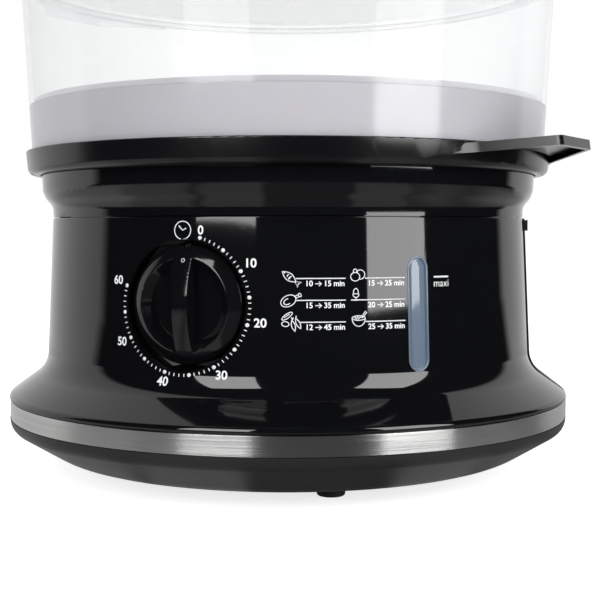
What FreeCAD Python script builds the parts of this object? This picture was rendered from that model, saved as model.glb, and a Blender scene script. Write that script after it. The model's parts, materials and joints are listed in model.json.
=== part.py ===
"""Electric food steamer: black base with timer dial, drip tray, perforated bowl and lid.

Frame: millimetres, +Z up, origin on the floor under the middle of the base.
The dial faces -Y, the finger lugs point nearly along +X and -X.
"""
import FreeCAD, Part
import math
import os
import Sketcher

Vector, Rotation = FreeCAD.Vector, FreeCAD.Rotation
UP, ACROSS = Vector(0, 0, 1), Vector(1, 0, 0)

os.makedirs("parts", exist_ok=True)
doc = FreeCAD.newDocument("food_steamer")

# ---------------------------------------------------------------- driving dimensions

SIZES = {
    # walls and clearances
    "shell_wall": 2.6, "tank_wall": 2.5, "tray_wall": 2.2, "bowl_thick": 2.2, "lid_thick": 2.2,
    "seam": 0.3, "seat_gap": 0.2, "joint_gap": 0.1, "running_gap": 0.05, "side_gap": 0.7, "edge_round": 0.6,
    # bottom cover, feet and screws
    "bottom_level": 6.7, "belly_height": 20.3, "knee_inset": 26.2, "knee_round": 28.0, "shoulder_inset": 0.5,
    "shoulder_drop": 4.6, "shoulder_round": 6.2,
    "foot_ring": 83.0, "foot_angle": 35.0, "foot_radius": 6.35, "foot_stem": 3.2, "foot_barb": 4.2,
    "barb_height": 3.0, "screw_inset": 15.0, "screw_angle": 35.0, "rear_screw_angle": 115.0,
    "well_radius": 6.5, "screw_head": 3.9, "screw_radius": 1.9,
    "screw_head_height": 2.6, "screw_drop": 1.4, "screw_length": 15.0, "boss_radius": 4.6,
    "boss_rise": 9.0, "rib_thick": 3.0, "small_screw": 1.4,
    "vent_ring": 52.0, "vent_length": 22.0, "vent_width": 3.0, "vent_count": 12,
    # steel band
    "band_height": 8.8, "band_thick": 0.9, "band_inset": 0.3,
    # housing: lip, flare and wall
    "wall_radius": 119.05, "flare_width": 18.15, "wall_lean": 3.3,
    "lip_height": 2.2, "flare_height": 13.3, "wall_height": 70.8, "lip_round": 2.4, "flare_round": 13.8,
    "split_angle": 101.0, "split_half_gap": 0.12, "rear_proud": 0.8,
    "catch_angle": 104.5, "catch_width": 7.0, "catch_drop": 6.0, "catch_height": 5.2, "catch_proud": 2.4,
    # dial recess, knob and timer
    "dial_rise": 34.0, "dial_recess": 27.3, "dial_depth": 10.3, "dial_cup_wall": 1.8,
    "knob_radius": 25.3, "knob_behind": 1.1, "knob_rim": 4.6, "knob_dome": 7.6, "knob_skirt_wall": 2.4,
    "knob_cavity": 2.0, "knob_edge": 1.4, "hub_radius": 6.5,
    "grip_half": 3.4, "hollow_mouth": 25.3, "hollow_bed": 15.5, "hollow_floor": 3.2,
    "shaft_radius": 2.4, "shaft_out": 8.0, "shaft_in": 11.4, "shaft_hole": 3.2,
    "bracket_width": 50.0, "bracket_height": 30.0, "bracket_thick": 1.2, "bracket_round": 4.8,
    "bracket_screws": 19.0, "timer_radius": 21.5, "timer_depth": 16.0, "bell_radius": 15.0, "bell_depth": 3.6,
    # water gauge
    "gauge_angle": 49.5, "gauge_rise": 6.8, "gauge_height": 46.6, "gauge_width": 8.4,
    "chamber_half": 8.0, "chamber_wall": 2.0, "gasket_width": 13.4, "gasket_space": 1.0,
    # tank with collar
    "neck_height": 5.4, "collar_flare": 5.3, "collar_slope": 5.3, "collar_height": 10.9,
    "neck_round": 5.0, "collar_round": 7.9, "collar_edge": 1.5,
    "cup_inset": 8.6, "cup_depth": 26.4, "spigot_depth": 3.6, "spigot_thick": 2.0,
    "tank_inset": 15.5, "tank_back": 14.0, "heater_room": 20.8, "gauge_port_start": 45.0,
    # heater
    "coil_radius": 30.0, "coil_tube": 4.0, "coil_rise": 13.5, "coil_gap_angle": 30.0, "leg_drop": 13.5,
    "gasket_radius": 40.0, "gasket_thick": 1.4, "plate_radius": 43.0, "plate_thick": 1.6,
    "plate_screw_ring": 36.0, "cutout_radius": 9.5, "cutout_height": 7.0, "tab_width": 6.0, "tab_thick": 0.8,
    "tab_length": 5.6,
    # steam ring in the tank
    "ring_radius": 45.0, "ring_wall": 2.0, "ring_height": 39.5, "ring_cone": 10.0, "ring_neck": 6.0,
    "ring_mouth": 27.0, "ring_round": 3.0, "notch_width": 12.0, "notch_height": 8.0, "notch_count": 6,
    # drip tray
    "rim_overhang": 7.25, "rim_skirt": 1.1, "rim_height": 11.2, "rim_round": 3.0, "rim_edge": 0.8,
    "dish_depth": 16.0, "dish_round": 6.0, "chimney_radius": 22.2, "chimney_height": 18.3,
    "chimney_cap": 2.1, "chimney_round": 2.0, "port_rise": 7.6, "port_height": 7.4, "port_width": 10.0,
    "port_count": 8,
    # finger lugs
    "lug_turn": 11.0, "lug_depth": 21.0, "lug_half": 18.7, "lug_root": 47.0, "lug_tilt": 7.7, "lug_sink": 1.3,
    "lug_flange": 4.2, "lug_plate": 1.8, "lug_border": 2.2, "lug_corner": 6.1, "lug_blend": 30.0, "lug_run": 15.0,
    "bowl_lug_depth": 11.5, "bowl_lug_root": 38.0, "bowl_lug_half": 22.0,
    # bowl
    "bowl_side_gap": 1.2, "band_draft": 1.6, "bowl_band_height": 28.6, "grid_rise": 3.8, "lip_rise": 3.0,
    "wall_draft": 3.3, "wall_rise": 60.6, "rim_lip": 3.8,
    "slot_width": 4.6, "grid_border": 11.8, "slot_spacing": 9.0, "grid_hub": 16.0,
    "outer_slots": 36, "middle_slots": 24, "inner_slots": 12,
    # lid
    "lid_inset": 0.5, "lid_spigot": 4.0, "lid_rise": 21.0, "lid_flat": 12.0,
    "steam_slot_ring": 62.0, "steam_slot_length": 16.0, "steam_slot_width": 3.2, "steam_slots": 6,
    "handle_half": 38.0, "handle_height": 21.0, "handle_half_thick": 6.5, "handle_slope": 8.0,
    "handle_round": 9.0, "handle_screws": 22.0, "handle_screw_depth": 6.0,
    # cable gland and terminals
    "gland_rise": 14.4, "gland_bore": 3.6, "gland_neck": 6.0, "gland_flange": 9.0, "gland_length": 12.0,
    "gland_nut": 9.5, "gland_nut_thick": 3.0,
    "block_length": 34.0, "block_depth": 14.0, "block_height": 13.0, "block_back": 64.0,
}


class Size:
    """A size with the sheet formula that gives it, so that arithmetic keeps both in step."""

    def __init__(self, value, text=None):
        self.value = float(value)
        self.text = text or repr(float(value))

    def __add__(self, other):
        return join(self, "+", other)

    def __radd__(self, other):
        return join(other, "+", self)

    def __sub__(self, other):
        return join(self, "-", other)

    def __rsub__(self, other):
        return join(other, "-", self)

    def __mul__(self, other):
        return join(self, "*", other)

    def __rmul__(self, other):
        return join(other, "*", self)

    def __truediv__(self, other):
        return join(self, "/", other)

    def __rtruediv__(self, other):
        return join(other, "/", self)

    def __neg__(self):
        return join(0, "-", self)


def sized(thing):
    return thing if isinstance(thing, Size) else Size(thing)


def join(left, sign, right):
    a, b = sized(left), sized(right)
    value = {"+": a.value + b.value, "-": a.value - b.value, "*": a.value * b.value,
             "/": a.value / b.value if b.value else 0.0}[sign]
    return Size(value, f"({a.text} {sign} {b.text})")


def root(area):
    return Size(math.sqrt(sized(area).value), f"sqrt({sized(area).text})")


def sine(angle):
    return Size(math.sin(math.radians(sized(angle).value)), f"sin({sized(angle).text} * 1 deg)")


def cosine(angle):
    return Size(math.cos(math.radians(sized(angle).value)), f"cos({sized(angle).text} * 1 deg)")


def half_turn_tangent(run, rise):
    """Tangent of half the angle whose tangent is run over rise."""
    ratio = run / rise
    return Size(math.tan(math.atan(ratio.value) / 2), f"tan(atan({ratio.text}) / 2)")


sheet = doc.addObject("Spreadsheet::Sheet", "Sizes")
for row, (name, number) in enumerate(SIZES.items(), start=1):
    sheet.set(f"A{row}", name.replace("_", " "))
    sheet.set(f"B{row}", str(number))
    sheet.setAlias(f"B{row}", name)
doc.recompute()


class Sheet:
    """The sheet's sizes as attributes."""

    def __getattr__(self, name):
        return Size(sheet.get(name), f"Sizes.{name}")


D = Sheet()

# ---------------------------------------------------------------- drawing helpers


def bind(thing, path, size):
    """Tie a property to the sheet, or set it where the size is a plain number."""
    thing.setExpression(path, sized(size).text)


def new_body(label):
    body = doc.addObject("PartDesign::Body", label)
    body.Label = label
    return body


def origin_feature(body, role):
    return next(f for f in body.Origin.OriginFeatures if f.Role == role)


def sketch_on(body, role, name, offset=None, turn=None):
    """A sketch on one of the body's origin planes, moved along its normal or turned about Z.

    XY looks down, XZ looks along +Y from the front (its normal is -Y), YZ looks from +X.
    """
    sketch = body.newObject("Sketcher::SketchObject", f"{body.Name}_{name}")
    sketch.AttachmentSupport = [(origin_feature(body, role), "")]
    sketch.MapMode = "FlatFace"
    if turn is not None:
        sketch.AttachmentOffset = FreeCAD.Placement(Vector(), Rotation(Vector(0, 1, 0), sized(turn).value))
        bind(sketch, "AttachmentOffset.Rotation.Angle", turn)
        bind(sketch, "AttachmentOffset.Base.x", sine(turn) * sized(offset or 0))
        bind(sketch, "AttachmentOffset.Base.z", cosine(turn) * sized(offset or 0))
    elif offset is not None:
        bind(sketch, "AttachmentOffset.Base.z", offset)
    return sketch


def pin_point(sketch, geometry, end, x, y):
    """Fix one end of a piece of geometry at x, y, measured from the sketch's origin."""
    for kind, axis, size in (("DistanceX", -2, x), ("DistanceY", -1, y)):
        if not isinstance(size, Size) and size == 0:
            sketch.addConstraint(Sketcher.Constraint("PointOnObject", geometry, end, axis))
        else:
            index = sketch.addConstraint(Sketcher.Constraint(kind, geometry, end, sized(size).value))
            sketch.setExpression(f"Constraints[{index}]", sized(size).text)


def set_radius(sketch, geometry, radius):
    index = sketch.addConstraint(Sketcher.Constraint("Radius", geometry, sized(radius).value))
    sketch.setExpression(f"Constraints[{index}]", sized(radius).text)


def add_arc(sketch, start, end, centre, leftwards):
    """An arc from start to end; gives its number and which of its ends is which."""
    first, last = (start, end) if leftwards else (end, start)
    angles = [math.atan2(p[1] - centre[1], p[0] - centre[0]) for p in (first, last)]
    circle = Part.Circle(Vector(centre[0], centre[1], 0), UP, math.dist(start, centre))
    number = sketch.addGeometry(Part.ArcOfCircle(circle, angles[0], angles[1]), False)
    return (number, 1, 2) if leftwards else (number, 2, 1)


def outline(sketch, corners, rounds=None, arcs=None):
    """A closed outline through corners.

    rounds gives a corner's radius by its number. arcs gives (radius, side) for the edge that
    starts at a corner: side is "left" or "right", where the arc's centre lies.
    """
    rounds, arcs = rounds or {}, arcs or {}
    count = len(corners)
    flat = [(sized(x).value, sized(y).value) for x, y in corners]
    leave, reach = list(flat), list(flat)
    for i, radius in rounds.items():
        back, ahead = flat[i - 1], flat[(i + 1) % count]
        to_back = unit(flat[i], back)
        to_ahead = unit(flat[i], ahead)
        turn = math.acos(max(-1, min(1, to_back[0] * to_ahead[0] + to_back[1] * to_ahead[1])))
        cut = sized(radius).value / math.tan(turn / 2)
        reach[i] = (flat[i][0] + to_back[0] * cut, flat[i][1] + to_back[1] * cut)
        leave[i] = (flat[i][0] + to_ahead[0] * cut, flat[i][1] + to_ahead[1] * cut)
    edges = []
    for i in range(count):
        start, end = leave[i], reach[(i + 1) % count]
        if i in arcs:
            radius, side = arcs[i]
            edges.append(add_arc(sketch, start, end, arc_centre(start, end, sized(radius).value, side), side == "left"))
            set_radius(sketch, edges[-1][0], radius)
        else:
            line = Part.LineSegment(Vector(start[0], start[1], 0), Vector(end[0], end[1], 0))
            edges.append((sketch.addGeometry(line, False), 1, 2))
    for i, (x, y) in enumerate(corners):
        before, after = edges[i - 1], edges[i]
        if i not in rounds:
            sketch.addConstraint(Sketcher.Constraint("Coincident", before[0], before[2], after[0], after[1]))
            pin_point(sketch, after[0], after[1], x, y)
            continue
        into, out = unit(reach[i], flat[i]), unit(flat[i], leave[i])
        leftwards = into[0] * out[1] - into[1] * out[0] > 0
        side = 1 if leftwards else -1
        radius = sized(rounds[i]).value
        centre = (reach[i][0] - side * into[1] * radius, reach[i][1] + side * into[0] * radius)
        arc = add_arc(sketch, reach[i], leave[i], centre, leftwards)
        sketch.addConstraint(Sketcher.Constraint("Tangent", before[0], before[2], arc[0], arc[1]))
        sketch.addConstraint(Sketcher.Constraint("Tangent", arc[0], arc[2], after[0], after[1]))
        set_radius(sketch, arc[0], rounds[i])
        corner = sketch.addGeometry(Part.Point(Vector(flat[i][0], flat[i][1], 0)), True)
        sketch.addConstraint(Sketcher.Constraint("PointOnObject", corner, 1, before[0]))
        sketch.addConstraint(Sketcher.Constraint("PointOnObject", corner, 1, after[0]))
        pin_point(sketch, corner, 1, x, y)
    return sketch


def unit(start, end):
    length = math.dist(start, end)
    return ((end[0] - start[0]) / length, (end[1] - start[1]) / length)


def arc_centre(start, end, radius, side):
    along = unit(start, end)
    half = math.dist(start, end) / 2
    off = math.sqrt(max(radius * radius - half * half, 0)) * (1 if side == "left" else -1)
    return ((start[0] + end[0]) / 2 - along[1] * off, (start[1] + end[1]) / 2 + along[0] * off)


def circles(sketch, *rings):
    """Circles, each given as x, y and radius."""
    for x, y, radius in rings:
        centre = Vector(sized(x).value, sized(y).value, 0)
        number = sketch.addGeometry(Part.Circle(centre, UP, sized(radius).value), False)
        pin_point(sketch, number, 3, x, y)
        set_radius(sketch, number, radius)
    return sketch


def rectangle(sketch, low_x, low_y, high_x, high_y, rounding=None):
    corners = [(low_x, low_y), (high_x, low_y), (high_x, high_y), (low_x, high_y)]
    return outline(sketch, corners, {i: rounding for i in range(4)} if rounding is not None else None)


def obround(sketch, x, low, high, width):
    """An upright slot with round ends, low to high overall."""
    radius = width / 2
    cx, r = sized(x).value, radius.value
    bottom, top = sized(low).value + r, sized(high).value - r
    upper = add_arc(sketch, (cx + r, top), (cx - r, top), (cx, top), True)
    lower = add_arc(sketch, (cx - r, bottom), (cx + r, bottom), (cx, bottom), True)
    left = sketch.addGeometry(Part.LineSegment(Vector(cx - r, top, 0), Vector(cx - r, bottom, 0)), False)
    right = sketch.addGeometry(Part.LineSegment(Vector(cx + r, bottom, 0), Vector(cx + r, top, 0)), False)
    for first, second in (((upper[0], 2), (left, 1)), ((left, 2), (lower[0], 1)),
                          ((lower[0], 2), (right, 1)), ((right, 2), (upper[0], 1))):
        sketch.addConstraint(Sketcher.Constraint("Tangent", first[0], first[1], second[0], second[1]))
    pin_point(sketch, upper[0], 3, x, high - radius)
    pin_point(sketch, lower[0], 3, x, low + radius)
    set_radius(sketch, upper[0], radius)
    return sketch


def finish_feature(body, feature, name, removes):
    """Recompute, and make sure that the feature added or removed material."""
    before = body.Shape.Volume if not body.Shape.isNull() else 0.0
    feature.Label = f"{body.Label}_{name}"
    body.Tip = feature
    doc.recompute()
    changed = body.Shape.Volume - before
    if (changed > -1e-6) if removes else (changed < 1e-6):
        raise RuntimeError(f"{feature.Label} changes nothing: {changed:.6f} mm3")
    return feature


def revolve(body, name, corners, rounds=None, arcs=None, cut=False):
    """Turn a profile of (radius, height) corners about the body's Z axis."""
    sketch = outline(sketch_on(body, "XZ_Plane", f"{name}_profile"), corners, rounds, arcs)
    feature = body.newObject("PartDesign::Groove" if cut else "PartDesign::Revolution", f"{body.Name}_{name}")
    feature.Profile = sketch
    feature.ReferenceAxis = (sketch, ["V_Axis"])
    feature.Angle = 360
    return finish_feature(body, feature, name, cut)


def pad(body, name, sketch, length, backwards=False, both_ways=False):
    feature = body.newObject("PartDesign::Pad", f"{body.Name}_{name}")
    feature.Profile = sketch
    bind(feature, "Length", length)
    feature.Reversed = backwards
    feature.Midplane = both_ways
    return finish_feature(body, feature, name, False)


def pocket(body, name, sketch, length, along_normal=False, both_ways=False):
    """Cut against the sketch's normal, or along it."""
    feature = body.newObject("PartDesign::Pocket", f"{body.Name}_{name}")
    feature.Profile = sketch
    bind(feature, "Length", length)
    feature.Reversed = along_normal
    feature.Midplane = both_ways
    return finish_feature(body, feature, name, True)


def around(body, name, features, count, removes=True):
    """Repeat features evenly about the body's Z axis."""
    pattern = body.newObject("PartDesign::PolarPattern", f"{body.Name}_{name}")
    pattern.Originals = features
    pattern.Axis = (origin_feature(body, "Z_Axis"), [""])
    pattern.Angle = 360
    bind(pattern, "Occurrences", count)
    return finish_feature(body, pattern, name, removes)


def place(body, position, axis=UP, angle=0.0):
    """Put a sub-part whose own Z axis is its working axis into the product."""
    body.Placement = FreeCAD.Placement(Vector(), Rotation(axis, angle))
    for letter, size in zip("xyz", position):
        bind(body, f"Placement.Base.{letter}", size)


def on_ring(radius, angle):
    """A point at an angle from the front, counted towards +X."""
    return radius * sine(angle), -(radius * cosine(angle))


# ---------------------------------------------------------------- forms that pieces share

# levels and radii, from the floor up and from the housing's wall inwards and outwards
SKIRT_RADIUS = D.wall_radius + D.flare_width
WALL_TOP_RADIUS = D.wall_radius - D.wall_lean
BAND_LOW = D.bottom_level + D.belly_height
BAND_HIGH = BAND_LOW + D.band_height
LIP_LOW = BAND_HIGH + D.seam
LIP_HIGH = LIP_LOW + D.lip_height
FLARE_FOOT = LIP_HIGH + D.flare_height
WALL_TOP = FLARE_FOOT + D.wall_height
KNEE_RADIUS = SKIRT_RADIUS - D.knee_inset
SHOULDER_RADIUS = SKIRT_RADIUS - D.shoulder_inset
SHOULDER_LEVEL = BAND_LOW - D.shoulder_drop
FLOOR_TOP = D.bottom_level + D.tank_wall
SCREW_RING = D.wall_radius - D.screw_inset
SCREW_SEAT = BAND_LOW - D.screw_drop
BAND_SEAT = SKIRT_RADIUS - D.band_inset - D.band_thick - D.joint_gap
FAR_OUT = 2 * SKIRT_RADIUS

FLARE_SHIFT = D.shell_wall * half_turn_tangent(D.flare_width, D.flare_height)
BELLY_SHIFT = D.tank_wall * half_turn_tangent(SHOULDER_LEVEL - D.bottom_level, SHOULDER_RADIUS - KNEE_RADIUS)

NECK_RADIUS = WALL_TOP_RADIUS - D.joint_gap
NECK_TOP = WALL_TOP + D.neck_height
COLLAR_RADIUS = NECK_RADIUS + D.collar_flare
COLLAR_LOW = NECK_TOP + D.collar_slope
COLLAR_TOP = COLLAR_LOW + D.collar_height
CUP_RADIUS = NECK_RADIUS - D.cup_inset
SHELF_LEVEL = COLLAR_TOP - D.cup_depth
TANK_RADIUS = CUP_RADIUS - D.tank_inset
TANK_UNDER = FLOOR_TOP + D.heater_room
TANK_FLOOR = TANK_UNDER + D.tank_wall
PLATE_LOW = TANK_UNDER - D.gasket_thick - D.plate_thick

RIM_RADIUS = COLLAR_RADIUS + D.rim_overhang
RIM_LOW = COLLAR_TOP - D.rim_skirt
RIM_TOP = RIM_LOW + D.rim_height
TRAY_SEAT = COLLAR_TOP + D.seat_gap
BOWL_FOOT = TRAY_SEAT + D.tray_wall + D.seat_gap
BOWL_FOOT_RADIUS = RIM_RADIUS - D.tray_wall - D.bowl_side_gap
BAND_RADIUS = BOWL_FOOT_RADIUS + D.band_draft
BAND_TOP = BOWL_FOOT + D.bowl_band_height
GRID_LEVEL = BOWL_FOOT + D.grid_rise
BOWL_TOP_RADIUS = BAND_RADIUS + D.wall_draft
BOWL_RIM_RADIUS = BOWL_TOP_RADIUS + D.rim_lip
BOWL_RIM = BAND_TOP + D.seat_gap + D.wall_rise
LID_SEAT = BOWL_RIM + D.bowl_thick + D.seat_gap
LID_CROWN = LID_SEAT + D.lid_thick + D.lid_rise
LID_SPIGOT = BOWL_TOP_RADIUS - D.bowl_thick - D.side_gap
LID_RUN = LID_SPIGOT - D.lid_flat
LID_DOME = (LID_RUN * LID_RUN + D.lid_rise * D.lid_rise) / (2 * D.lid_rise)


def wall_at(level, proud=0):
    """Outer radius of the housing's upright wall."""
    return D.wall_radius - D.wall_lean / D.wall_height * (level - FLARE_FOOT) + proud


DIAL_LEVEL = FLARE_FOOT + D.dial_rise
DIAL_FLOOR = wall_at(DIAL_LEVEL) - D.dial_depth
KNOB_BACK = DIAL_FLOOR + D.knob_behind
SHAFT_FRONT = DIAL_FLOOR + D.shaft_out
TIMER_FRONT = DIAL_FLOOR - D.shell_wall - D.joint_gap
GAUGE_LOW = FLARE_FOOT + D.gauge_rise
GAUGE_HIGH = GAUGE_LOW + D.gauge_height
CHAMBER_FRONT = WALL_TOP_RADIUS - D.shell_wall - D.gasket_space
GLAND_LEVEL = FLARE_FOOT + D.gland_rise


def trim_to_wall(body, name, low, high, proud=0):
    """Cut away what stands outside the housing's wall between two levels."""
    revolve(body, name, [(wall_at(low, proud), low), (FAR_OUT, low), (FAR_OUT, high),
                         (wall_at(high, proud), high)], cut=True)


def keep_front(body, name, half_angle):
    """Cut away the part of a ring behind half_angle on both sides."""
    x, y = on_ring(FAR_OUT, half_angle)
    corners = [(0, 0), (x, y), (x, FAR_OUT), (-x, FAR_OUT), (-x, y)]
    pocket(body, name, outline(sketch_on(body, "XY_Plane", f"{name}_wedge"), corners), FAR_OUT, along_normal=True)


def keep_rear(body, name, half_angle):
    """Cut away the part of a ring ahead of half_angle on both sides."""
    x, y = on_ring(FAR_OUT, half_angle)
    corners = [(0, 0), (-x, y), (-x, -FAR_OUT), (x, -FAR_OUT), (x, y)]
    pocket(body, name, outline(sketch_on(body, "XY_Plane", f"{name}_wedge"), corners), FAR_OUT, along_normal=True)


def post(body, name, x, y, radius, low, high):
    sketch = circles(sketch_on(body, "XY_Plane", f"{name}_circle", low), (x, y, radius))
    return pad(body, name, sketch, high - low)


def drill(body, name, holes, low, high):
    """Upright holes, each given as x, y and radius."""
    sketch = circles(sketch_on(body, "XY_Plane", f"{name}_circles", low), *holes)
    return pocket(body, name, sketch, high - low, along_normal=True)


def soften(body, name, radius, chosen):
    """Round off the edges of the body's shape for which chosen(edge) is true."""
    tip = body.Tip
    names = [f"Edge{i}" for i, edge in enumerate(tip.Shape.Edges, start=1) if chosen(edge)]
    feature = body.newObject("PartDesign::Fillet", f"{body.Name}_{name}")
    feature.Base = (tip, names)
    bind(feature, "Radius", radius)
    return finish_feature(body, feature, name, True)


# ---------------------------------------------------------------- base: covers


def bottom_cover():
    body = new_body("bottom_cover")
    spigot_out = SKIRT_RADIUS - D.shell_wall - D.joint_gap
    spigot_in = spigot_out - D.tank_wall
    spigot_top = LIP_HIGH - FLARE_SHIFT - D.seam
    inner_knee = KNEE_RADIUS - BELLY_SHIFT
    belly_slope = (SHOULDER_LEVEL - D.bottom_level) / (SHOULDER_RADIUS - KNEE_RADIUS)
    inner_end = FLOOR_TOP + (spigot_in - inner_knee) * belly_slope
    revolve(body, "shell", [
        (0, D.bottom_level), (KNEE_RADIUS, D.bottom_level), (SHOULDER_RADIUS, SHOULDER_LEVEL),
        (SKIRT_RADIUS, BAND_LOW), (BAND_SEAT, BAND_LOW), (BAND_SEAT, BAND_HIGH), (spigot_out, BAND_HIGH),
        (spigot_out, spigot_top), (spigot_in, spigot_top), (spigot_in, inner_end), (inner_knee, FLOOR_TOP),
        (0, FLOOR_TOP)],
        rounds={1: D.knee_round, 2: D.shoulder_round, 10: D.knee_round - D.tank_wall})
    well_top = SCREW_SEAT + D.tank_wall
    wells = circles(sketch_on(body, "XY_Plane", "well_circles", D.bottom_level),
                    *[(x, y, D.well_radius) for x, y in screw_places()])
    pad(body, "wells", wells, well_top - D.bottom_level)
    revolve(body, "belly_trim", [
        (0, D.bottom_level), (KNEE_RADIUS, D.bottom_level), (SHOULDER_RADIUS, SHOULDER_LEVEL),
        (SKIRT_RADIUS, BAND_LOW), (FAR_OUT, BAND_LOW), (FAR_OUT, -FAR_OUT), (0, -FAR_OUT)],
        rounds={1: D.knee_round, 2: D.shoulder_round}, cut=True)
    drill(body, "head_rooms", [(x, y, D.screw_head + 2 * D.seam) for x, y in screw_places()], 0, SCREW_SEAT)
    drill(body, "shank_holes", [(x, y, D.screw_radius + D.joint_gap) for x, y in screw_places()], 0,
          well_top + D.seam)
    drill(body, "foot_holes", [(fx, fy, D.foot_stem + D.joint_gap) for fx, fy in foot_places()], 0,
          FLOOR_TOP + D.seam)
    vent = rectangle(sketch_on(body, "XY_Plane", "vent_slot"), D.vent_ring - D.vent_length / 2,
                     -D.vent_width / 2, D.vent_ring + D.vent_length / 2, D.vent_width / 2)
    around(body, "vents", [pocket(body, "vent", vent, FLOOR_TOP + D.seam, along_normal=True)], D.vent_count)


def screw_places():
    spread = [D.screw_angle, D.rear_screw_angle, -D.rear_screw_angle, -D.screw_angle]
    return [on_ring(SCREW_RING, angle) for angle in spread]


def foot_places():
    spread = [D.foot_angle, 180 - D.foot_angle, 180 + D.foot_angle, -D.foot_angle]
    return [on_ring(D.foot_ring, angle) for angle in spread]


def feet():
    names = ["foot_front_right", "foot_rear_right", "foot_rear_left", "foot_front_left"]
    top = FLOOR_TOP + D.seam
    for name, (x, y) in zip(names, foot_places()):
        body = new_body(name)
        revolve(body, "turned", [
            (0, 0), (D.foot_radius, 0), (D.foot_radius, D.bottom_level), (D.foot_stem, D.bottom_level),
            (D.foot_stem, top), (D.foot_barb, top), (D.foot_stem - D.edge_round, top + D.barb_height),
            (0, top + D.barb_height)], rounds={1: 2 * D.edge_round})
        place(body, (x, y, 0))


def screw_set(name, places, radius, head_radius, head_low, head_height, tip, along_up=True):
    """Like screws as one node: a head and a shank at each place."""
    body = new_body(name)
    body.AllowCompound = True
    heads = [(x, y, head_radius) for x, y in places]
    shanks = [(x, y, radius) for x, y in places]
    pad(body, "heads", circles(sketch_on(body, "XY_Plane", "head_circles", head_low), *heads), head_height)
    pad(body, "shanks", circles(sketch_on(body, "XY_Plane", "shank_circles", head_low), *shanks),
        tip - head_low if along_up else head_low - tip, backwards=not along_up)
    return body


def cover_screws():
    """Self-tapping screws, heads deep in the bottom cover's wells."""
    head_low = SCREW_SEAT - D.screw_head_height - D.joint_gap
    screw_set("cover_screws", screw_places(), D.screw_radius, D.screw_head, head_low, D.screw_head_height,
              head_low + D.screw_length)


def steel_band():
    body = new_body("steel_band")
    inner = BAND_SEAT + D.joint_gap
    outer = inner + D.band_thick
    low = BAND_LOW + D.seam / 2
    revolve(body, "strip", [(inner, low), (outer, low), (outer, BAND_HIGH), (inner, BAND_HIGH)])
    keep_front(body, "ends", D.split_angle - D.split_half_gap)


def front_housing():
    body = new_body("front_housing")
    inner_lip = SKIRT_RADIUS - D.shell_wall
    # cup of the dial recess, cut back to the middle of the wall that it then joins
    back = DIAL_FLOOR - D.shell_wall
    cup_radius = D.dial_recess + D.dial_cup_wall
    cup = circles(sketch_on(body, "XZ_Plane", "cup_circle", back), (0, DIAL_LEVEL, cup_radius))
    pad(body, "cup", cup, SKIRT_RADIUS - back)
    trim_to_wall(body, "cup_trim", DIAL_LEVEL - cup_radius - D.seam, DIAL_LEVEL + cup_radius + D.seam,
                 -(D.shell_wall / 2))
    revolve(body, "shell", [
        (inner_lip, LIP_LOW), (SKIRT_RADIUS, LIP_LOW), (SKIRT_RADIUS, LIP_HIGH), (D.wall_radius, FLARE_FOOT),
        (WALL_TOP_RADIUS, WALL_TOP), (WALL_TOP_RADIUS - D.shell_wall, WALL_TOP),
        (D.wall_radius - D.shell_wall, FLARE_FOOT - FLARE_SHIFT), (inner_lip, LIP_HIGH - FLARE_SHIFT)],
        rounds={1: D.edge_round, 2: D.lip_round, 3: D.flare_round, 4: D.edge_round,
                6: D.flare_round + D.shell_wall})
    keep_front(body, "sides", D.split_angle - D.split_half_gap)
    for side, angle in (("right", D.screw_angle), ("left", -D.screw_angle)):
        housing_boss(body, side, angle)
    recess = circles(sketch_on(body, "XZ_Plane", "recess_circle", DIAL_FLOOR), (0, DIAL_LEVEL, D.dial_recess))
    pocket(body, "recess", recess, SKIRT_RADIUS, along_normal=True)
    holes = [(0, DIAL_LEVEL, D.shaft_hole)]
    holes += [(x, DIAL_LEVEL, D.small_screw + D.running_gap) for x in (D.bracket_screws, -D.bracket_screws)]
    shaft_hole = circles(sketch_on(body, "XZ_Plane", "shaft_circle", TANK_RADIUS), *holes)
    pocket(body, "shaft_hole", shaft_hole, SKIRT_RADIUS, along_normal=True)
    gauge = obround(sketch_on(body, "XZ_Plane", "gauge_slot", TANK_RADIUS, D.gauge_angle), 0,
                    GAUGE_LOW, GAUGE_HIGH, D.gauge_width)
    pocket(body, "gauge", gauge, SKIRT_RADIUS, along_normal=True)


def housing_boss(body, side, angle):
    """Screw boss over a well of the bottom cover, on a rib of the wall."""
    x, y = on_ring(SCREW_RING, angle)
    low = SCREW_SEAT + D.tank_wall + D.seam
    high = FLARE_FOOT + D.boss_rise
    rib = rectangle(sketch_on(body, "XZ_Plane", f"rib_{side}_face", SCREW_RING, angle),
                    -D.rib_thick / 2, low, D.rib_thick / 2, high)
    pad(body, f"rib_{side}", rib, D.screw_inset - D.shell_wall / 2)
    post(body, f"boss_{side}", x, y, D.boss_radius, low, high)
    drill(body, f"pilot_{side}", [(x, y, D.screw_radius + D.running_gap)], low - D.seam,
          SCREW_SEAT + D.screw_length)


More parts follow.
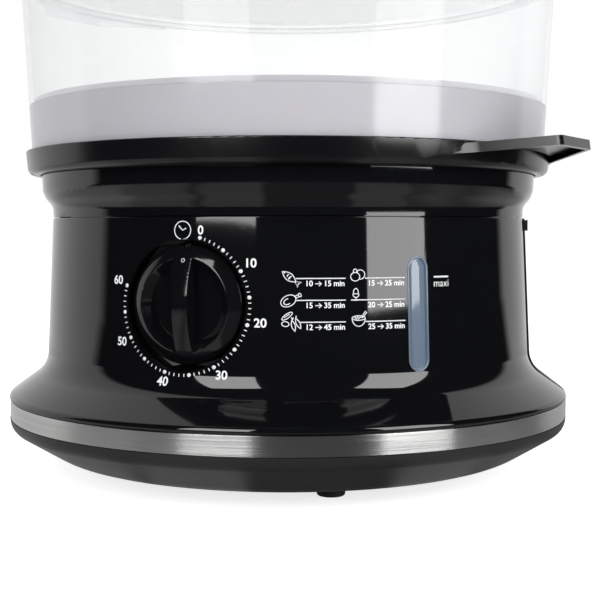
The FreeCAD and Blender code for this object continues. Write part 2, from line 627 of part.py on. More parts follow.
def rear_panel():
    body = new_body("rear_panel")
    inner_lip = SKIRT_RADIUS - D.shell_wall
    band_in = BAND_SEAT + D.joint_gap
    low = BAND_LOW + D.seam
    revolve(body, "shell", [
        (band_in, low), (SKIRT_RADIUS, low), (SKIRT_RADIUS, LIP_HIGH),
        (D.wall_radius + D.rear_proud, FLARE_FOOT), (WALL_TOP_RADIUS + D.rear_proud, WALL_TOP),
        (WALL_TOP_RADIUS - D.shell_wall, WALL_TOP), (D.wall_radius - D.shell_wall, FLARE_FOOT - FLARE_SHIFT),
        (inner_lip, LIP_HIGH - FLARE_SHIFT), (inner_lip, LIP_LOW), (band_in, LIP_LOW)],
        rounds={2: D.lip_round, 3: D.flare_round, 4: D.edge_round})
    keep_rear(body, "sides", D.split_angle + D.split_half_gap)
    for side, angle in (("right", D.rear_screw_angle), ("left", -D.rear_screw_angle)):
        housing_boss(body, side, angle)
    # catches that stand out beside the split
    root_radius = WALL_TOP_RADIUS - D.shell_wall / 2
    low = WALL_TOP - D.catch_drop
    for side, angle in (("right", D.catch_angle), ("left", -D.catch_angle)):
        tab = rectangle(sketch_on(body, "XZ_Plane", f"catch_{side}_face", root_radius, angle),
                        -D.catch_width / 2, low, D.catch_width / 2, low + D.catch_height, D.edge_round)
        pad(body, f"catch_{side}", tab, D.shell_wall / 2 + D.catch_proud)
    hole = circles(sketch_on(body, "XZ_Plane", "gland_circle"), (0, GLAND_LEVEL, D.gland_neck + D.joint_gap))
    pocket(body, "gland_hole", hole, SKIRT_RADIUS)


# ---------------------------------------------------------------- base: tank, gauge and heater


def tank_collar():
    """Collar that closes the housing at the top; the tank stands under the mouth in its shelf."""
    body = new_body("tank_collar")
    shift = D.tank_wall * half_turn_tangent(D.collar_flare, D.collar_slope)
    under_shelf, skirt_low = SHELF_LEVEL - D.tank_wall, WALL_TOP + D.seam
    spigot_out = WALL_TOP_RADIUS - D.shell_wall - D.seam
    spigot_in = spigot_out - D.spigot_thick
    spigot_low, spigot_top = WALL_TOP - D.spigot_depth, WALL_TOP + D.spigot_depth
    cup_out = CUP_RADIUS + D.tank_wall
    inner_collar = COLLAR_RADIUS - D.tank_wall
    revolve(body, "collar", [
        (0, under_shelf), (cup_out, under_shelf), (cup_out, COLLAR_TOP - D.tank_wall),
        (inner_collar, COLLAR_TOP - D.tank_wall), (inner_collar, COLLAR_LOW + shift),
        (NECK_RADIUS - D.tank_wall, NECK_TOP + shift), (spigot_in, spigot_top), (spigot_in, spigot_low),
        (spigot_out, spigot_low), (spigot_out, skirt_low), (NECK_RADIUS, skirt_low), (NECK_RADIUS, NECK_TOP),
        (COLLAR_RADIUS, COLLAR_LOW), (COLLAR_RADIUS, COLLAR_TOP), (CUP_RADIUS, COLLAR_TOP),
        (CUP_RADIUS, SHELF_LEVEL), (0, SHELF_LEVEL)],
        rounds={11: D.neck_round, 12: D.collar_round, 13: D.collar_edge, 14: D.edge_round})
    drill(body, "mouth", [(0, D.tank_back, TANK_RADIUS)], under_shelf - D.seam, SHELF_LEVEL + D.seam)


def water_tank():
    """Tank, set back to leave room for the timer, with a port to the water gauge."""
    body = new_body("water_tank")
    top = SHELF_LEVEL - D.tank_wall - D.joint_gap
    post(body, "vessel", 0, D.tank_back, TANK_RADIUS + D.tank_wall, TANK_UNDER, top)
    drill(body, "water_space", [(0, D.tank_back, TANK_RADIUS)], TANK_FLOOR, top + D.seam)
    drill(body, "heater_holes", heater_holes(), TANK_UNDER - D.tank_wall, TANK_FLOOR + D.tank_wall)
    half = D.chamber_half - D.chamber_wall
    port = rectangle(sketch_on(body, "XZ_Plane", "gauge_port", D.gauge_port_start, D.gauge_angle),
                     -half, GAUGE_LOW, half, GAUGE_HIGH)
    pocket(body, "gauge_port", port, CUP_RADIUS - D.gauge_port_start, along_normal=True)


def heater_holes():
    """Holes for the coil's two cold legs, either side of its gap at the rear, and for four screws."""
    half = D.coil_gap_angle / 2
    legs = [on_ring(D.coil_radius, 180 - half), on_ring(D.coil_radius, 180 + half)]
    holes = [(x, y, D.coil_tube + D.running_gap) for x, y in legs]
    return holes + [(x, y, D.small_screw + D.running_gap) for x, y in plate_screw_places()]


def plate_screw_places():
    return [on_ring(D.plate_screw_ring, 45 + 90 * i) for i in range(4)]


def sight_chamber():
    """Clear box between the tank's wall and the window, open towards the tank."""
    body = new_body("sight_chamber")
    start = D.gauge_port_start
    grow = D.chamber_wall + D.seam
    block = rectangle(sketch_on(body, "XZ_Plane", "block", start, D.gauge_angle), -D.chamber_half,
                      GAUGE_LOW - grow, D.chamber_half, GAUGE_HIGH + grow)
    pad(body, "block", block, CHAMBER_FRONT - start)
    drill(body, "tank_side", [(0, D.tank_back, TANK_RADIUS + D.tank_wall + D.joint_gap)], 0, COLLAR_TOP)
    half = D.chamber_half - D.chamber_wall
    space = rectangle(sketch_on(body, "XZ_Plane", "space", start, D.gauge_angle), -half, GAUGE_LOW, half, GAUGE_HIGH)
    pocket(body, "space", space, CHAMBER_FRONT - D.chamber_wall - start, along_normal=True)


def window_gasket():
    body = new_body("window_gasket")
    grow = (D.gasket_width - D.gauge_width) / 2
    base = CHAMBER_FRONT + D.joint_gap
    outer = obround(sketch_on(body, "XZ_Plane", "outer", base, D.gauge_angle), 0,
                    GAUGE_LOW - grow, GAUGE_HIGH + grow, D.gasket_width)
    pad(body, "pad", outer, D.gasket_space - D.joint_gap)
    inner = obround(sketch_on(body, "XZ_Plane", "inner", base - D.seam, D.gauge_angle), 0,
                    GAUGE_LOW, GAUGE_HIGH, D.gauge_width)
    pocket(body, "opening", inner, D.shell_wall, along_normal=True)


def level_window():
    body = new_body("level_window")
    base = CHAMBER_FRONT + D.joint_gap
    face = obround(sketch_on(body, "XZ_Plane", "lens", base, D.gauge_angle), 0, GAUGE_LOW + D.joint_gap,
                   GAUGE_HIGH - D.joint_gap, D.gauge_width - 2 * D.joint_gap)
    pad(body, "lens", face, SKIRT_RADIUS - base)
    trim_to_wall(body, "face", GAUGE_LOW - D.seam, GAUGE_HIGH + D.seam, -D.seam)


def heating_element():
    """Sheathed coil that stands in the water on two cold legs."""
    body = new_body("heating_element")
    level, low = TANK_FLOOR + D.coil_rise, TANK_FLOOR - D.leg_drop
    tube = circles(sketch_on(body, "XZ_Plane", "tube"), (D.coil_radius, level, D.coil_tube))
    coil = body.newObject("PartDesign::Revolution", "heating_element_coil")
    coil.Profile = tube
    coil.ReferenceAxis = (tube, ["V_Axis"])
    bind(coil, "Angle", 360 - D.coil_gap_angle)
    finish_feature(body, coil, "coil", False)
    swing = -D.coil_gap_angle
    ends = [(D.coil_radius, 0), (D.coil_radius * cosine(swing), D.coil_radius * sine(swing))]
    for name, (x, y) in zip(("leg_start", "leg_end"), ends):
        post(body, name, x, y, D.coil_tube, low, level + D.coil_tube / 2)
    place(body, (0, 0, 0))
    bind(body, "Placement.Rotation.Angle", 90 + D.coil_gap_angle / 2)


def heater_gasket():
    body = new_body("heater_gasket")
    post(body, "disc", 0, 0, D.gasket_radius, TANK_UNDER - D.gasket_thick, TANK_UNDER)
    drill(body, "holes", heater_holes(), PLATE_LOW, TANK_FLOOR)


def heater_plate():
    body = new_body("heater_plate")
    post(body, "disc", 0, 0, D.plate_radius, PLATE_LOW, PLATE_LOW + D.plate_thick)
    drill(body, "holes", heater_holes(), PLATE_LOW - D.seam, TANK_FLOOR)


def heater_screws():
    head_low = PLATE_LOW - D.joint_gap - D.small_screw
    screw_set("heater_screws", plate_screw_places(), D.small_screw, 2 * D.small_screw, head_low,
              D.small_screw, TANK_FLOOR)


def thermal_cutout():
    """Bimetal cut-out on the plate's underside, with its two tab terminals."""
    body = new_body("thermal_cutout")
    high = PLATE_LOW - D.joint_gap
    low = high - D.cutout_height
    post(body, "can", 0, 0, D.cutout_radius, low, high)
    for name, x in (("tab_left", -(D.cutout_radius / 2)), ("tab_right", D.cutout_radius / 2)):
        tab = rectangle(sketch_on(body, "XY_Plane", name, low), x - D.tab_thick / 2, -D.tab_width / 2,
                        x + D.tab_thick / 2, D.tab_width / 2)
        pad(body, name, tab, D.tab_length, backwards=True)


def terminal_block():
    body = new_body("terminal_block")
    low = FLOOR_TOP + D.seat_gap
    block = rectangle(sketch_on(body, "XY_Plane", "block", low), -D.block_length / 2, D.block_back,
                      D.block_length / 2, D.block_back + D.block_depth)
    pad(body, "block", block, D.block_height)
    step = D.block_length / 3
    wells = [(step * k, D.block_back + D.block_depth / 2, D.block_depth / 5) for k in (-1, 0, 1)]
    drill(body, "screw_wells", wells, low + D.block_height / 2, low + 2 * D.block_height)


def cord_gland():
    """Bush in the rear panel that a mains cord leaves through, and the nut that holds it."""
    # the wall leans and curves, so the flange clears its lowest point and the nut its highest corners
    wall = wall_at(GLAND_LEVEL - D.gland_flange, D.rear_proud)
    inner = wall_at(GLAND_LEVEL + D.gland_nut) - D.shell_wall
    nut_front = root(inner * inner - D.gland_nut * D.gland_nut) - D.joint_gap
    inside = nut_front - D.gland_nut_thick - D.seam
    flange = wall + D.joint_gap
    bush = new_body("cord_gland")
    revolve(bush, "bush", [
        (D.gland_bore, inside), (D.gland_neck, inside), (D.gland_neck, flange), (D.gland_flange, flange),
        (D.gland_flange, flange + D.shell_wall), (D.gland_neck - D.edge_round, wall + D.gland_length),
        (D.gland_bore, wall + D.gland_length)],
        rounds={4: D.edge_round, 5: D.edge_round})
    nut = new_body("gland_nut")
    hexagon = [(D.gland_nut * cosine(60 * i), D.gland_nut * sine(60 * i)) for i in range(6)]
    pad(nut, "hexagon", outline(sketch_on(nut, "XY_Plane", "hexagon", nut_front - D.gland_nut_thick), hexagon),
        D.gland_nut_thick)
    drill(nut, "bore", [(0, 0, D.gland_neck + D.joint_gap)], inside, wall)
    for body in (bush, nut):
        place(body, (0, 0, GLAND_LEVEL), ACROSS, -90)


# ---------------------------------------------------------------- base: timer and its knob
# these pieces are drawn along Z and turned to face the front


def timer():
    """Clockwork timer behind the dial recess, on a bracket that two screws hold from the front."""
    screw_x = (D.bracket_screws, -D.bracket_screws)
    bracket = new_body("timer_bracket")
    plate_back = TIMER_FRONT - D.bracket_thick
    plate = rectangle(sketch_on(bracket, "XY_Plane", "plate", plate_back), -D.bracket_width / 2,
                      -D.bracket_height / 2, D.bracket_width / 2, D.bracket_height / 2, D.bracket_round)
    pad(bracket, "plate", plate, D.bracket_thick)
    drill(bracket, "holes", [(0, 0, D.shaft_hole)] + [(x, 0, D.small_screw + D.running_gap) for x in screw_x],
          plate_back - D.seam, TIMER_FRONT + D.seam)
    case = new_body("timer_case")
    case_front = plate_back - D.joint_gap
    case_back = case_front - D.timer_depth
    post(case, "drum", 0, 0, D.timer_radius, case_back, case_front)
    # flats at both sides, where the bracket's screws come through
    flat = D.bracket_screws - 3 * D.small_screw
    for side, (near, far) in (("left", (-2 * flat, -flat)), ("right", (flat, 2 * flat))):
        cut = rectangle(sketch_on(case, "XY_Plane", f"{side}_flat", case_front + D.seam), near, -2 * flat,
                        far, 2 * flat)
        pocket(case, f"{side}_flat", cut, 2 * D.timer_depth)
    drill(case, "bore", [(0, 0, D.shaft_radius + D.running_gap)], DIAL_FLOOR - D.shaft_in - D.seat_gap,
          DIAL_FLOOR)
    bell = new_body("timer_bell")
    bell_front = case_back - D.joint_gap
    revolve(bell, "dome", [(0, bell_front - D.bell_depth), (D.bell_radius / 2, bell_front - D.bell_depth),
                           (D.bell_radius, bell_front), (0, bell_front)], rounds={1: D.bell_depth})
    head_low = DIAL_FLOOR + D.joint_gap
    screws = screw_set("timer_screws", [(x, 0) for x in screw_x], D.small_screw, 2 * D.small_screw, head_low,
                       D.knob_behind - 3 * D.joint_gap, case_front - D.bracket_thick, along_up=False)
    for body in (bracket, case, bell, screws):
        place(body, (0, 0, DIAL_LEVEL), ACROSS, 90)


def timer_shaft():
    body = new_body("timer_shaft")
    post(body, "rod", 0, 0, D.shaft_radius, DIAL_FLOOR - D.shaft_in, SHAFT_FRONT)
    flat = rectangle(sketch_on(body, "XY_Plane", "flat", DIAL_FLOOR), D.shaft_radius / 2, -D.shaft_radius,
                     2 * D.shaft_radius, D.shaft_radius)
    pocket(body, "flat", flat, SHAFT_FRONT - DIAL_FLOOR + D.seam, along_normal=True)
    place(body, (0, 0, DIAL_LEVEL), ACROSS, 90)


def dial_knob():
    """Domed knob whose grip is what two scooped hollows leave standing."""
    body = new_body("dial_knob")
    rim = KNOB_BACK + D.knob_rim
    crown = rim + D.knob_dome
    dome = (D.knob_radius * D.knob_radius + D.knob_dome * D.knob_dome) / (2 * D.knob_dome)
    revolve(body, "dome", [(0, KNOB_BACK), (D.knob_radius, KNOB_BACK), (D.knob_radius, rim), (0, crown)],
            rounds={1: D.edge_round}, arcs={2: (dome, "left")})
    soften(body, "rim_round", D.knob_edge, lambda edge: on_circle(edge, D.knob_radius, rim))
    scoop = body.newObject("PartDesign::SubtractiveLoft", "dial_knob_scoop")
    scoop.Profile = hollow_sketch(body, "scoop_floor", KNOB_BACK + D.hollow_floor, D.grip_half + D.edge_round,
                                  D.hollow_bed)
    scoop.Sections = [hollow_sketch(body, "scoop_mouth", crown + D.edge_round, D.grip_half, D.hollow_mouth)]
    finish_feature(body, scoop, "scoop", True)
    around(body, "scoops", [scoop], 2)
    cavity = circles(sketch_on(body, "XY_Plane", "cavity", KNOB_BACK), (0, 0, D.knob_radius - D.knob_skirt_wall),
                     (0, 0, D.hub_radius))
    pocket(body, "cavity", cavity, D.knob_cavity, along_normal=True)
    drill(body, "bore", [(0, 0, D.shaft_radius + D.running_gap)], DIAL_FLOOR, SHAFT_FRONT + D.seam)
    place(body, (0, 0, DIAL_LEVEL), ACROSS, 90)


def on_circle(edge, radius, level):
    """Whether an edge is a whole circle about Z of this radius at this level."""
    box = edge.BoundBox
    flat = abs(box.ZMin - level.value) < 1e-3 and abs(box.ZMax - level.value) < 1e-3
    return flat and abs(edge.Length - 2 * math.pi * radius.value) < 1e-2


def hollow_sketch(body, name, level, inner, outer):
    """Half-moon beside the grip: straight towards the grip, round towards the knob's rim."""
    reach = root(outer * outer - inner * inner)
    return outline(sketch_on(body, "XY_Plane", name, level), [(inner, -reach), (inner, reach)],
                   arcs={1: (outer, "right")})


# ---------------------------------------------------------------- pieces that lift off


def turbo_ring():
    """Ring that stands round the heater, so that only a little water boils at a time."""
    body = new_body("turbo_ring")
    low, inner = TANK_FLOOR + D.seat_gap, D.ring_radius - D.ring_wall
    mouth_in = D.ring_mouth - D.ring_wall
    shoulder = TANK_FLOOR + D.ring_height
    neck = shoulder + D.ring_cone
    revolve(body, "skin", [
        (inner, low), (D.ring_radius, low), (D.ring_radius, shoulder), (D.ring_mouth, neck),
        (D.ring_mouth, neck + D.ring_neck), (mouth_in, neck + D.ring_neck), (mouth_in, neck - D.ring_wall),
        (inner, shoulder - D.ring_wall)], rounds={2: D.ring_round})
    notch = rectangle(sketch_on(body, "YZ_Plane", "notch"), -D.notch_width / 2, low - D.seam, D.notch_width / 2,
                      low + D.notch_height)
    cut = pocket(body, "notch", notch, 2 * D.ring_radius, along_normal=True)
    around(body, "notches", [cut], D.notch_count)


def turn_with_lugs(body):
    """What lifts off stands turned a little on the base, the right-hand lug forwards."""
    bind(body, "Placement.Rotation.Angle", -D.lug_turn)


def finger_lugs(body, rim, level, wall, lug):
    """Two flanged lugs that rise outwards from a rim, made before the wall that they join.

    lug holds the depth, the half widths at the root and at the tip, and the tilt.
    """
    depth, root_half, tip_half, tilt = lug
    root_x = root(rim * rim - root_half * root_half)
    reach = (rim + depth - root_x) / cosine(tilt)
    start_half, middle = root_half + D.lug_run, rim - wall / 2
    start = root(middle * middle - start_half * start_half) - root_x

    def plan(name, inset, drop):
        sketch = sketch_on(body, "XY_Plane", name)
        sketch.AttachmentOffset = FreeCAD.Placement(Vector(), Rotation(Vector(0, -1, 0), sized(tilt).value))
        bind(sketch, "AttachmentOffset.Rotation.Angle", tilt)
        bind(sketch, "AttachmentOffset.Base.x", root_x + drop * sine(tilt))
        bind(sketch, "AttachmentOffset.Base.z", level - drop * cosine(tilt))
        tip, corner = reach - inset, D.lug_corner - inset
        half, wide, widest = tip_half - inset, root_half - inset, start_half - inset
        corners = [(start, -widest), (0, -wide), (tip, -half), (tip, half), (0, wide), (start, widest)]
        return outline(sketch, corners, rounds={1: D.lug_blend, 2: corner, 3: corner, 4: D.lug_blend})

    body.AllowCompound = True
    plate = pad(body, "lug", plan("lug_outline", sized(0), sized(0)), D.lug_flange, backwards=True)
    hollow = pocket(body, "lug_hollow", plan("lug_inside", D.lug_border, D.lug_plate), 2 * D.lug_flange)
    around(body, "lugs", [plate, hollow], 2, removes=False)
    revolve(body, "lug_roots", [(0, level - 2 * D.lug_flange), (rim - wall, level - 2 * D.lug_flange),
                                (rim - wall, 2 * level), (0, 2 * level)], cut=True)
    turn_with_lugs(body)


def drip_tray():
    body = new_body("drip_tray")
    t = D.tray_wall
    finger_lugs(body, RIM_RADIUS, RIM_TOP - D.lug_sink, t / 2,
                (D.lug_depth, D.lug_root, D.lug_half, D.lug_tilt))
    seat, skirt = TRAY_SEAT, COLLAR_RADIUS + D.side_gap
    dish, floor = CUP_RADIUS - D.side_gap, COLLAR_TOP - D.dish_depth
    inner_rim = RIM_RADIUS - t
    shoulder = floor + D.chimney_height
    cap = shoulder + D.chimney_cap
    revolve(body, "pan", [
        (D.chimney_radius - t, floor), (dish, floor), (dish, seat), (skirt, seat), (skirt, RIM_LOW),
        (RIM_RADIUS, RIM_LOW), (RIM_RADIUS, RIM_TOP), (inner_rim, RIM_TOP), (inner_rim, seat + t),
        (dish - t, seat + t), (dish - t, floor + t), (D.chimney_radius, floor + t),
        (D.chimney_radius, shoulder), (0, cap), (0, cap - t), (D.chimney_radius - t, shoulder - t)],
        rounds={1: D.dish_round, 5: D.rim_round, 6: D.rim_edge, 10: D.dish_round - t, 11: D.chimney_round})
    port = rectangle(sketch_on(body, "YZ_Plane", "port"), -D.port_width / 2, floor + D.port_rise,
                     D.port_width / 2, floor + D.port_rise + D.port_height)
    around(body, "ports", [pocket(body, "port", port, 2 * D.chimney_radius, along_normal=True)], D.port_count)


def bowl_base():
    """Pale foot of the bowl, with the steam grid for its floor."""
    body = new_body("bowl_base")
    t = D.bowl_thick
    lip_out, lip_top = BAND_RADIUS - t - D.joint_gap, BAND_TOP + D.lip_rise
    revolve(body, "band", [
        (0, GRID_LEVEL), (BOWL_FOOT_RADIUS - t, GRID_LEVEL), (BOWL_FOOT_RADIUS - t, BOWL_FOOT),
        (BOWL_FOOT_RADIUS, BOWL_FOOT), (BAND_RADIUS, BAND_TOP), (lip_out, BAND_TOP), (lip_out, lip_top),
        (lip_out - t, lip_top), (BOWL_FOOT_RADIUS - 2 * t, GRID_LEVEL + t), (0, GRID_LEVEL + t)],
        rounds={3: D.edge_round})
    rings = (("outer", D.outer_slots), ("middle", D.middle_slots), ("inner", D.inner_slots))
    end = BOWL_FOOT_RADIUS - D.grid_border
    length = (end - D.grid_hub - (len(rings) - 1) * D.slot_spacing) / len(rings)
    for name, count in rings:
        slot = rectangle(sketch_on(body, "XY_Plane", f"{name}_slot", GRID_LEVEL - D.seam), end - length,
                         -D.slot_width / 2, end, D.slot_width / 2)
        cut = pocket(body, f"{name}_slot", slot, t + 2 * D.seam, along_normal=True)
        around(body, f"{name}_slots", [cut], count)
        end = end - length - D.slot_spacing


def bowl_wall():
    """Clear wall that stands on the bowl's foot, with a flat rim and two lugs."""
    body = new_body("bowl_wall")
    t = D.bowl_thick
    top = BOWL_RIM + t
    finger_lugs(body, BOWL_RIM_RADIUS, top, D.rim_lip + t / 2,
                (D.bowl_lug_depth, D.bowl_lug_root, D.bowl_lug_half, 0))
    revolve(body, "wall", [
        (BAND_RADIUS - t, BAND_TOP + D.seat_gap), (BAND_RADIUS, BAND_TOP + D.seat_gap),
        (BOWL_TOP_RADIUS, BOWL_RIM), (BOWL_RIM_RADIUS, BOWL_RIM), (BOWL_RIM_RADIUS, top),
        (BOWL_TOP_RADIUS - t, top)], rounds={3: D.edge_round, 4: D.edge_round})


def lid_shell():
    body = new_body("lid_shell")
    t, flange = D.lid_thick, BOWL_RIM_RADIUS - D.lid_inset
    revolve(body, "dome", [
        (LID_SPIGOT - t, LID_SEAT - D.lid_spigot), (LID_SPIGOT, LID_SEAT - D.lid_spigot), (LID_SPIGOT, LID_SEAT),
        (flange, LID_SEAT), (flange, LID_SEAT + t), (LID_SPIGOT, LID_SEAT + t), (D.lid_flat, LID_CROWN),
        (0, LID_CROWN), (0, LID_CROWN - t), (D.lid_flat, LID_CROWN - t), (LID_SPIGOT - t, LID_SEAT)],
        arcs={5: (LID_DOME, "left"), 9: (LID_DOME - t, "right")}, rounds={3: D.edge_round, 4: D.edge_round})
    slot = rectangle(sketch_on(body, "XY_Plane", "steam_slot", LID_SEAT), D.steam_slot_ring - D.steam_slot_width / 2,
                     -D.steam_slot_length / 2, D.steam_slot_ring + D.steam_slot_width / 2, D.steam_slot_length / 2)
    around(body, "steam_slots", [pocket(body, "steam_slot", slot, D.lid_rise + 2 * t, along_normal=True)],
           D.steam_slots)
    drill(body, "handle_holes", [(x, 0, D.small_screw + D.running_gap) for x in (D.handle_screws, -D.handle_screws)],
          LID_SEAT, LID_CROWN + t)
    turn_with_lugs(body)


def lid_handle():
    """Fin-shaped grip across the lid, its foot cut to the dome."""
    body = new_body("lid_handle")
    half, top, foot = D.handle_half, LID_CROWN + D.handle_height, LID_CROWN - D.lid_rise / 4
    fin = outline(sketch_on(body, "XZ_Plane", "fin"), [(-half, foot), (half, foot), (half - D.handle_slope, top),
                                                       (D.handle_slope - half, top)],
                  rounds={2: D.handle_round, 3: D.handle_round})
    pad(body, "fin", fin, 2 * D.handle_half_thick, both_ways=True)
    soften(body, "fin_rounds", D.handle_half_thick / 2,
           lambda edge: abs(abs(edge.BoundBox.YMin) - D.handle_half_thick.value) < 1e-3
           and edge.BoundBox.YLength < 1e-3 and edge.BoundBox.ZMax > foot.value + 1)
    edge, gap = LID_CROWN - D.lid_rise, D.joint_gap
    revolve(body, "foot", [(0, edge - D.lid_rise), (LID_SPIGOT, edge - D.lid_rise), (LID_SPIGOT, edge + gap),
                           (D.lid_flat, LID_CROWN + gap), (0, LID_CROWN + gap)],
            arcs={2: (LID_DOME, "left")}, cut=True)
    drill(body, "pilots", [(x, 0, D.small_screw + D.running_gap) for x in (D.handle_screws, -D.handle_screws)],
          edge, LID_CROWN + D.handle_screw_depth + D.seam)
    turn_with_lugs(body)


def lid_screws():
    low = LID_CROWN - D.lid_thick - 3 * D.small_screw
    turn_with_lugs(screw_set("lid_screws", [(D.handle_screws, 0), (-D.handle_screws, 0)], D.small_screw,
                             2 * D.small_screw, low, 2 * D.small_screw, LID_CROWN + D.handle_screw_depth))


# ---------------------------------------------------------------- build, test and write

for make in (bottom_cover, feet, cover_screws, steel_band, front_housing, rear_panel, tank_collar, water_tank,
             sight_chamber, window_gasket, level_window, heating_element, heater_gasket, heater_plate,
             heater_screws, thermal_cutout, terminal_block, cord_gland, timer, timer_shaft, dial_knob,
             turbo_ring, drip_tray, bowl_base, bowl_wall, lid_shell, lid_handle, lid_screws):
    make()
doc.recompute()

for thing in doc.Objects:
    if "Invalid" in thing.State or "Error" in thing.State:
        raise RuntimeError(f"{thing.Label} failed: {thing.State}")

pieces = [thing for thing in doc.Objects if thing.TypeId == "PartDesign::Body"]
for piece in pieces:
    if piece.Shape.isNull() or not piece.Shape.isValid():
        raise RuntimeError(f"{piece.Label} has no valid shape")

for piece in pieces:
    piece.Shape.exportStep(f"parts/{piece.Label}.step")
    box = piece.Shape.BoundBox
    print(f"{piece.Label}: {len(piece.Shape.Solids)} solid(s), {piece.Shape.Volume / 1000:.2f} cm3, "
          f"z {box.ZMin:.1f} to {box.ZMax:.1f}")
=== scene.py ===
import json
import math

import bpy
from bpy.props import FloatProperty, FloatVectorProperty, IntProperty, PointerProperty
from mathutils import Matrix, Vector

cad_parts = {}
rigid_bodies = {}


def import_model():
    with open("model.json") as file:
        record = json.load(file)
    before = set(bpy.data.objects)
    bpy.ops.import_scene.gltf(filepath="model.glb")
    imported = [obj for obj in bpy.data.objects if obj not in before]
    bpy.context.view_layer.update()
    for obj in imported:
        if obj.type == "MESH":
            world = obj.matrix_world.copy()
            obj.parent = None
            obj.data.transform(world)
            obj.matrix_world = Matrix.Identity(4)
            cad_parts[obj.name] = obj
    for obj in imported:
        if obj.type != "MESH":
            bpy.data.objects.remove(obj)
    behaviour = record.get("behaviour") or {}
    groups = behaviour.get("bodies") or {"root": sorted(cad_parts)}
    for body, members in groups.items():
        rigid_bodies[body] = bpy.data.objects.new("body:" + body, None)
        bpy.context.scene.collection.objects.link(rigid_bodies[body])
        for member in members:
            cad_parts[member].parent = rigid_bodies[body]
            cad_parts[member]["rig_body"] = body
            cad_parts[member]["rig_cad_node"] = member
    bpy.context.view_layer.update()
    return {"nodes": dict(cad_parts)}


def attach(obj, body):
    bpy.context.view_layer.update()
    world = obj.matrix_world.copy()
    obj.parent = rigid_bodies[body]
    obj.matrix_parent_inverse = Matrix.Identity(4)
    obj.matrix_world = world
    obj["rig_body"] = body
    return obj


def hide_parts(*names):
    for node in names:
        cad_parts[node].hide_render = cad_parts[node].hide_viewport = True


# An electric food steamer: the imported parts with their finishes, printing and fine detail. Lengths in
# profiles and prints are millimetres, +Z is up, and angles count from the front (-Y) towards +X.

bl_info = {
    "name": "Food Steamer",
    "version": (1, 0, 0),
    "blender": (4, 5, 0),
    "location": "3D View > Sidebar > Steamer",
    "description": "Builds an electric food steamer with its finishes, printing and studio",
    "category": "Add Mesh",
}

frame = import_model()
MM = 0.001

# ---------------------------------------------------------------- settings


def colour(name, description, default):
    """A colour in linear red, green and blue."""
    return FloatVectorProperty(name=name, description=description, subtype="COLOR", size=3, min=0, max=1,
                               default=default)


def length(name, description, default):
    """A length that is written here in millimetres and kept in metres."""
    return FloatProperty(name=name, description=description, default=default * MM, precision=5, unit="LENGTH",
                         subtype="DISTANCE")


def turn(name, description, default):
    """An angle that is written here in degrees."""
    return FloatProperty(name=name, description=description, default=math.radians(default), unit="ROTATION",
                         subtype="ANGLE")


class SteamerColours(bpy.types.PropertyGroup):
    gloss: colour("Gloss black", "Housing, collar, drip tray and knob", (0.003, 0.0032, 0.0038))
    matt: colour("Matt black", "Bottom cover and rear panel", (0.013, 0.0135, 0.0145))
    steel: colour("Steel", "Brushed band", (0.60, 0.597, 0.59))
    pale: colour("Bowl foot", "Foot and steam grid of the bowl", (0.40, 0.395, 0.42))
    clear: colour("Clear wall", "Tint of the bowl's wall and the lid", (0.93, 0.95, 0.96))
    water: colour("Gauge window", "Lens of the water gauge", (0.125, 0.165, 0.22))
    ink: colour("Print", "Dial scale and cooking times", (0.80, 0.81, 0.83))
    rubber: colour("Rubber", "Feet and seals", (0.018, 0.018, 0.018))


class SteamerSizes(bpy.types.PropertyGroup):
    scale_radius: length("Scale radius", "From the knob's middle to the ring of dots", 28.9)
    dot: length("Dot", "Diameter of the dot at each five minutes", 1.75)
    tick: length("Tick", "Length of the mark at each minute", 1.25)
    figure: length("Figure height", "Height of the dial's numbers", 3.5)
    letter: length("Letter height", "Height of the numbers in the table of cooking times", 2.2)
    line: length("Line", "Width of the printed lines", 0.45)
    ink_height: length("Ink height", "How far the printing stands off the wall", 0.03)
    edge: length("Edge", "Rounding of the knob's edges", 0.45)
    rim_draft: turn("Rim draft", "Lean of the drip tray's rim, as it leaves its mould", 5.5)
    collar_draft: turn("Collar draft", "Lean of the collar, as it leaves its mould", 3.0)
    turns: IntProperty(name="Turns", description="Faces round the big mouldings", default=360, min=96,
                       max=720)


class SteamerStudio(bpy.types.PropertyGroup):
    lens: FloatProperty(name="Lens", description="Focal length", default=71.9, unit="CAMERA")
    distance: length("Distance", "From the steamer's axis to the camera", 603.6)
    height: length("Height", "Camera above the floor", 116.5)
    azimuth: turn("Azimuth", "Camera's place round the steamer", 22.0)
    pitch: turn("Pitch", "Camera's tilt down", 3.32)
    yaw: turn("Yaw", "Camera's turn to the right", 0.55)
    fill: FloatProperty(name="Fill", description="Strength of the room's light", default=0.6, min=0)
    boxes: FloatProperty(name="Soft boxes", description="Brightness of the soft boxes' faces", default=6.5,
                         min=0)


# ---------------------------------------------------------------- modelling helpers


def only(*pieces):
    """Select these objects and nothing else; the first becomes the active one."""
    bpy.ops.object.select_all(action="DESELECT")
    for piece in pieces:
        piece.hide_set(False)
        piece.select_set(True)
    bpy.context.view_layer.objects.active = pieces[0]


def named(name):
    """The new active object, under its name."""
    piece = bpy.context.object
    piece.name = piece.data.name = name
    return piece


def edit(piece, *steps, mode="VERT"):
    """Run edit-mode steps on the whole of a piece."""
    only(piece)
    bpy.ops.object.mode_set(mode="EDIT")
    bpy.ops.mesh.select_mode(type=mode)
    bpy.ops.mesh.select_all(action="SELECT")
    for step in steps:
        step()
    bpy.ops.object.mode_set(mode="OBJECT")
    return piece


def clean():
    """Merge doubles, drop loose edges and turn the faces outwards."""
    bpy.ops.mesh.select_all(action="SELECT")
    bpy.ops.mesh.remove_doubles(threshold=1e-6)
    bpy.ops.mesh.delete_loose()
    bpy.ops.mesh.select_all(action="SELECT")
    bpy.ops.mesh.normals_make_consistent(inside=False)


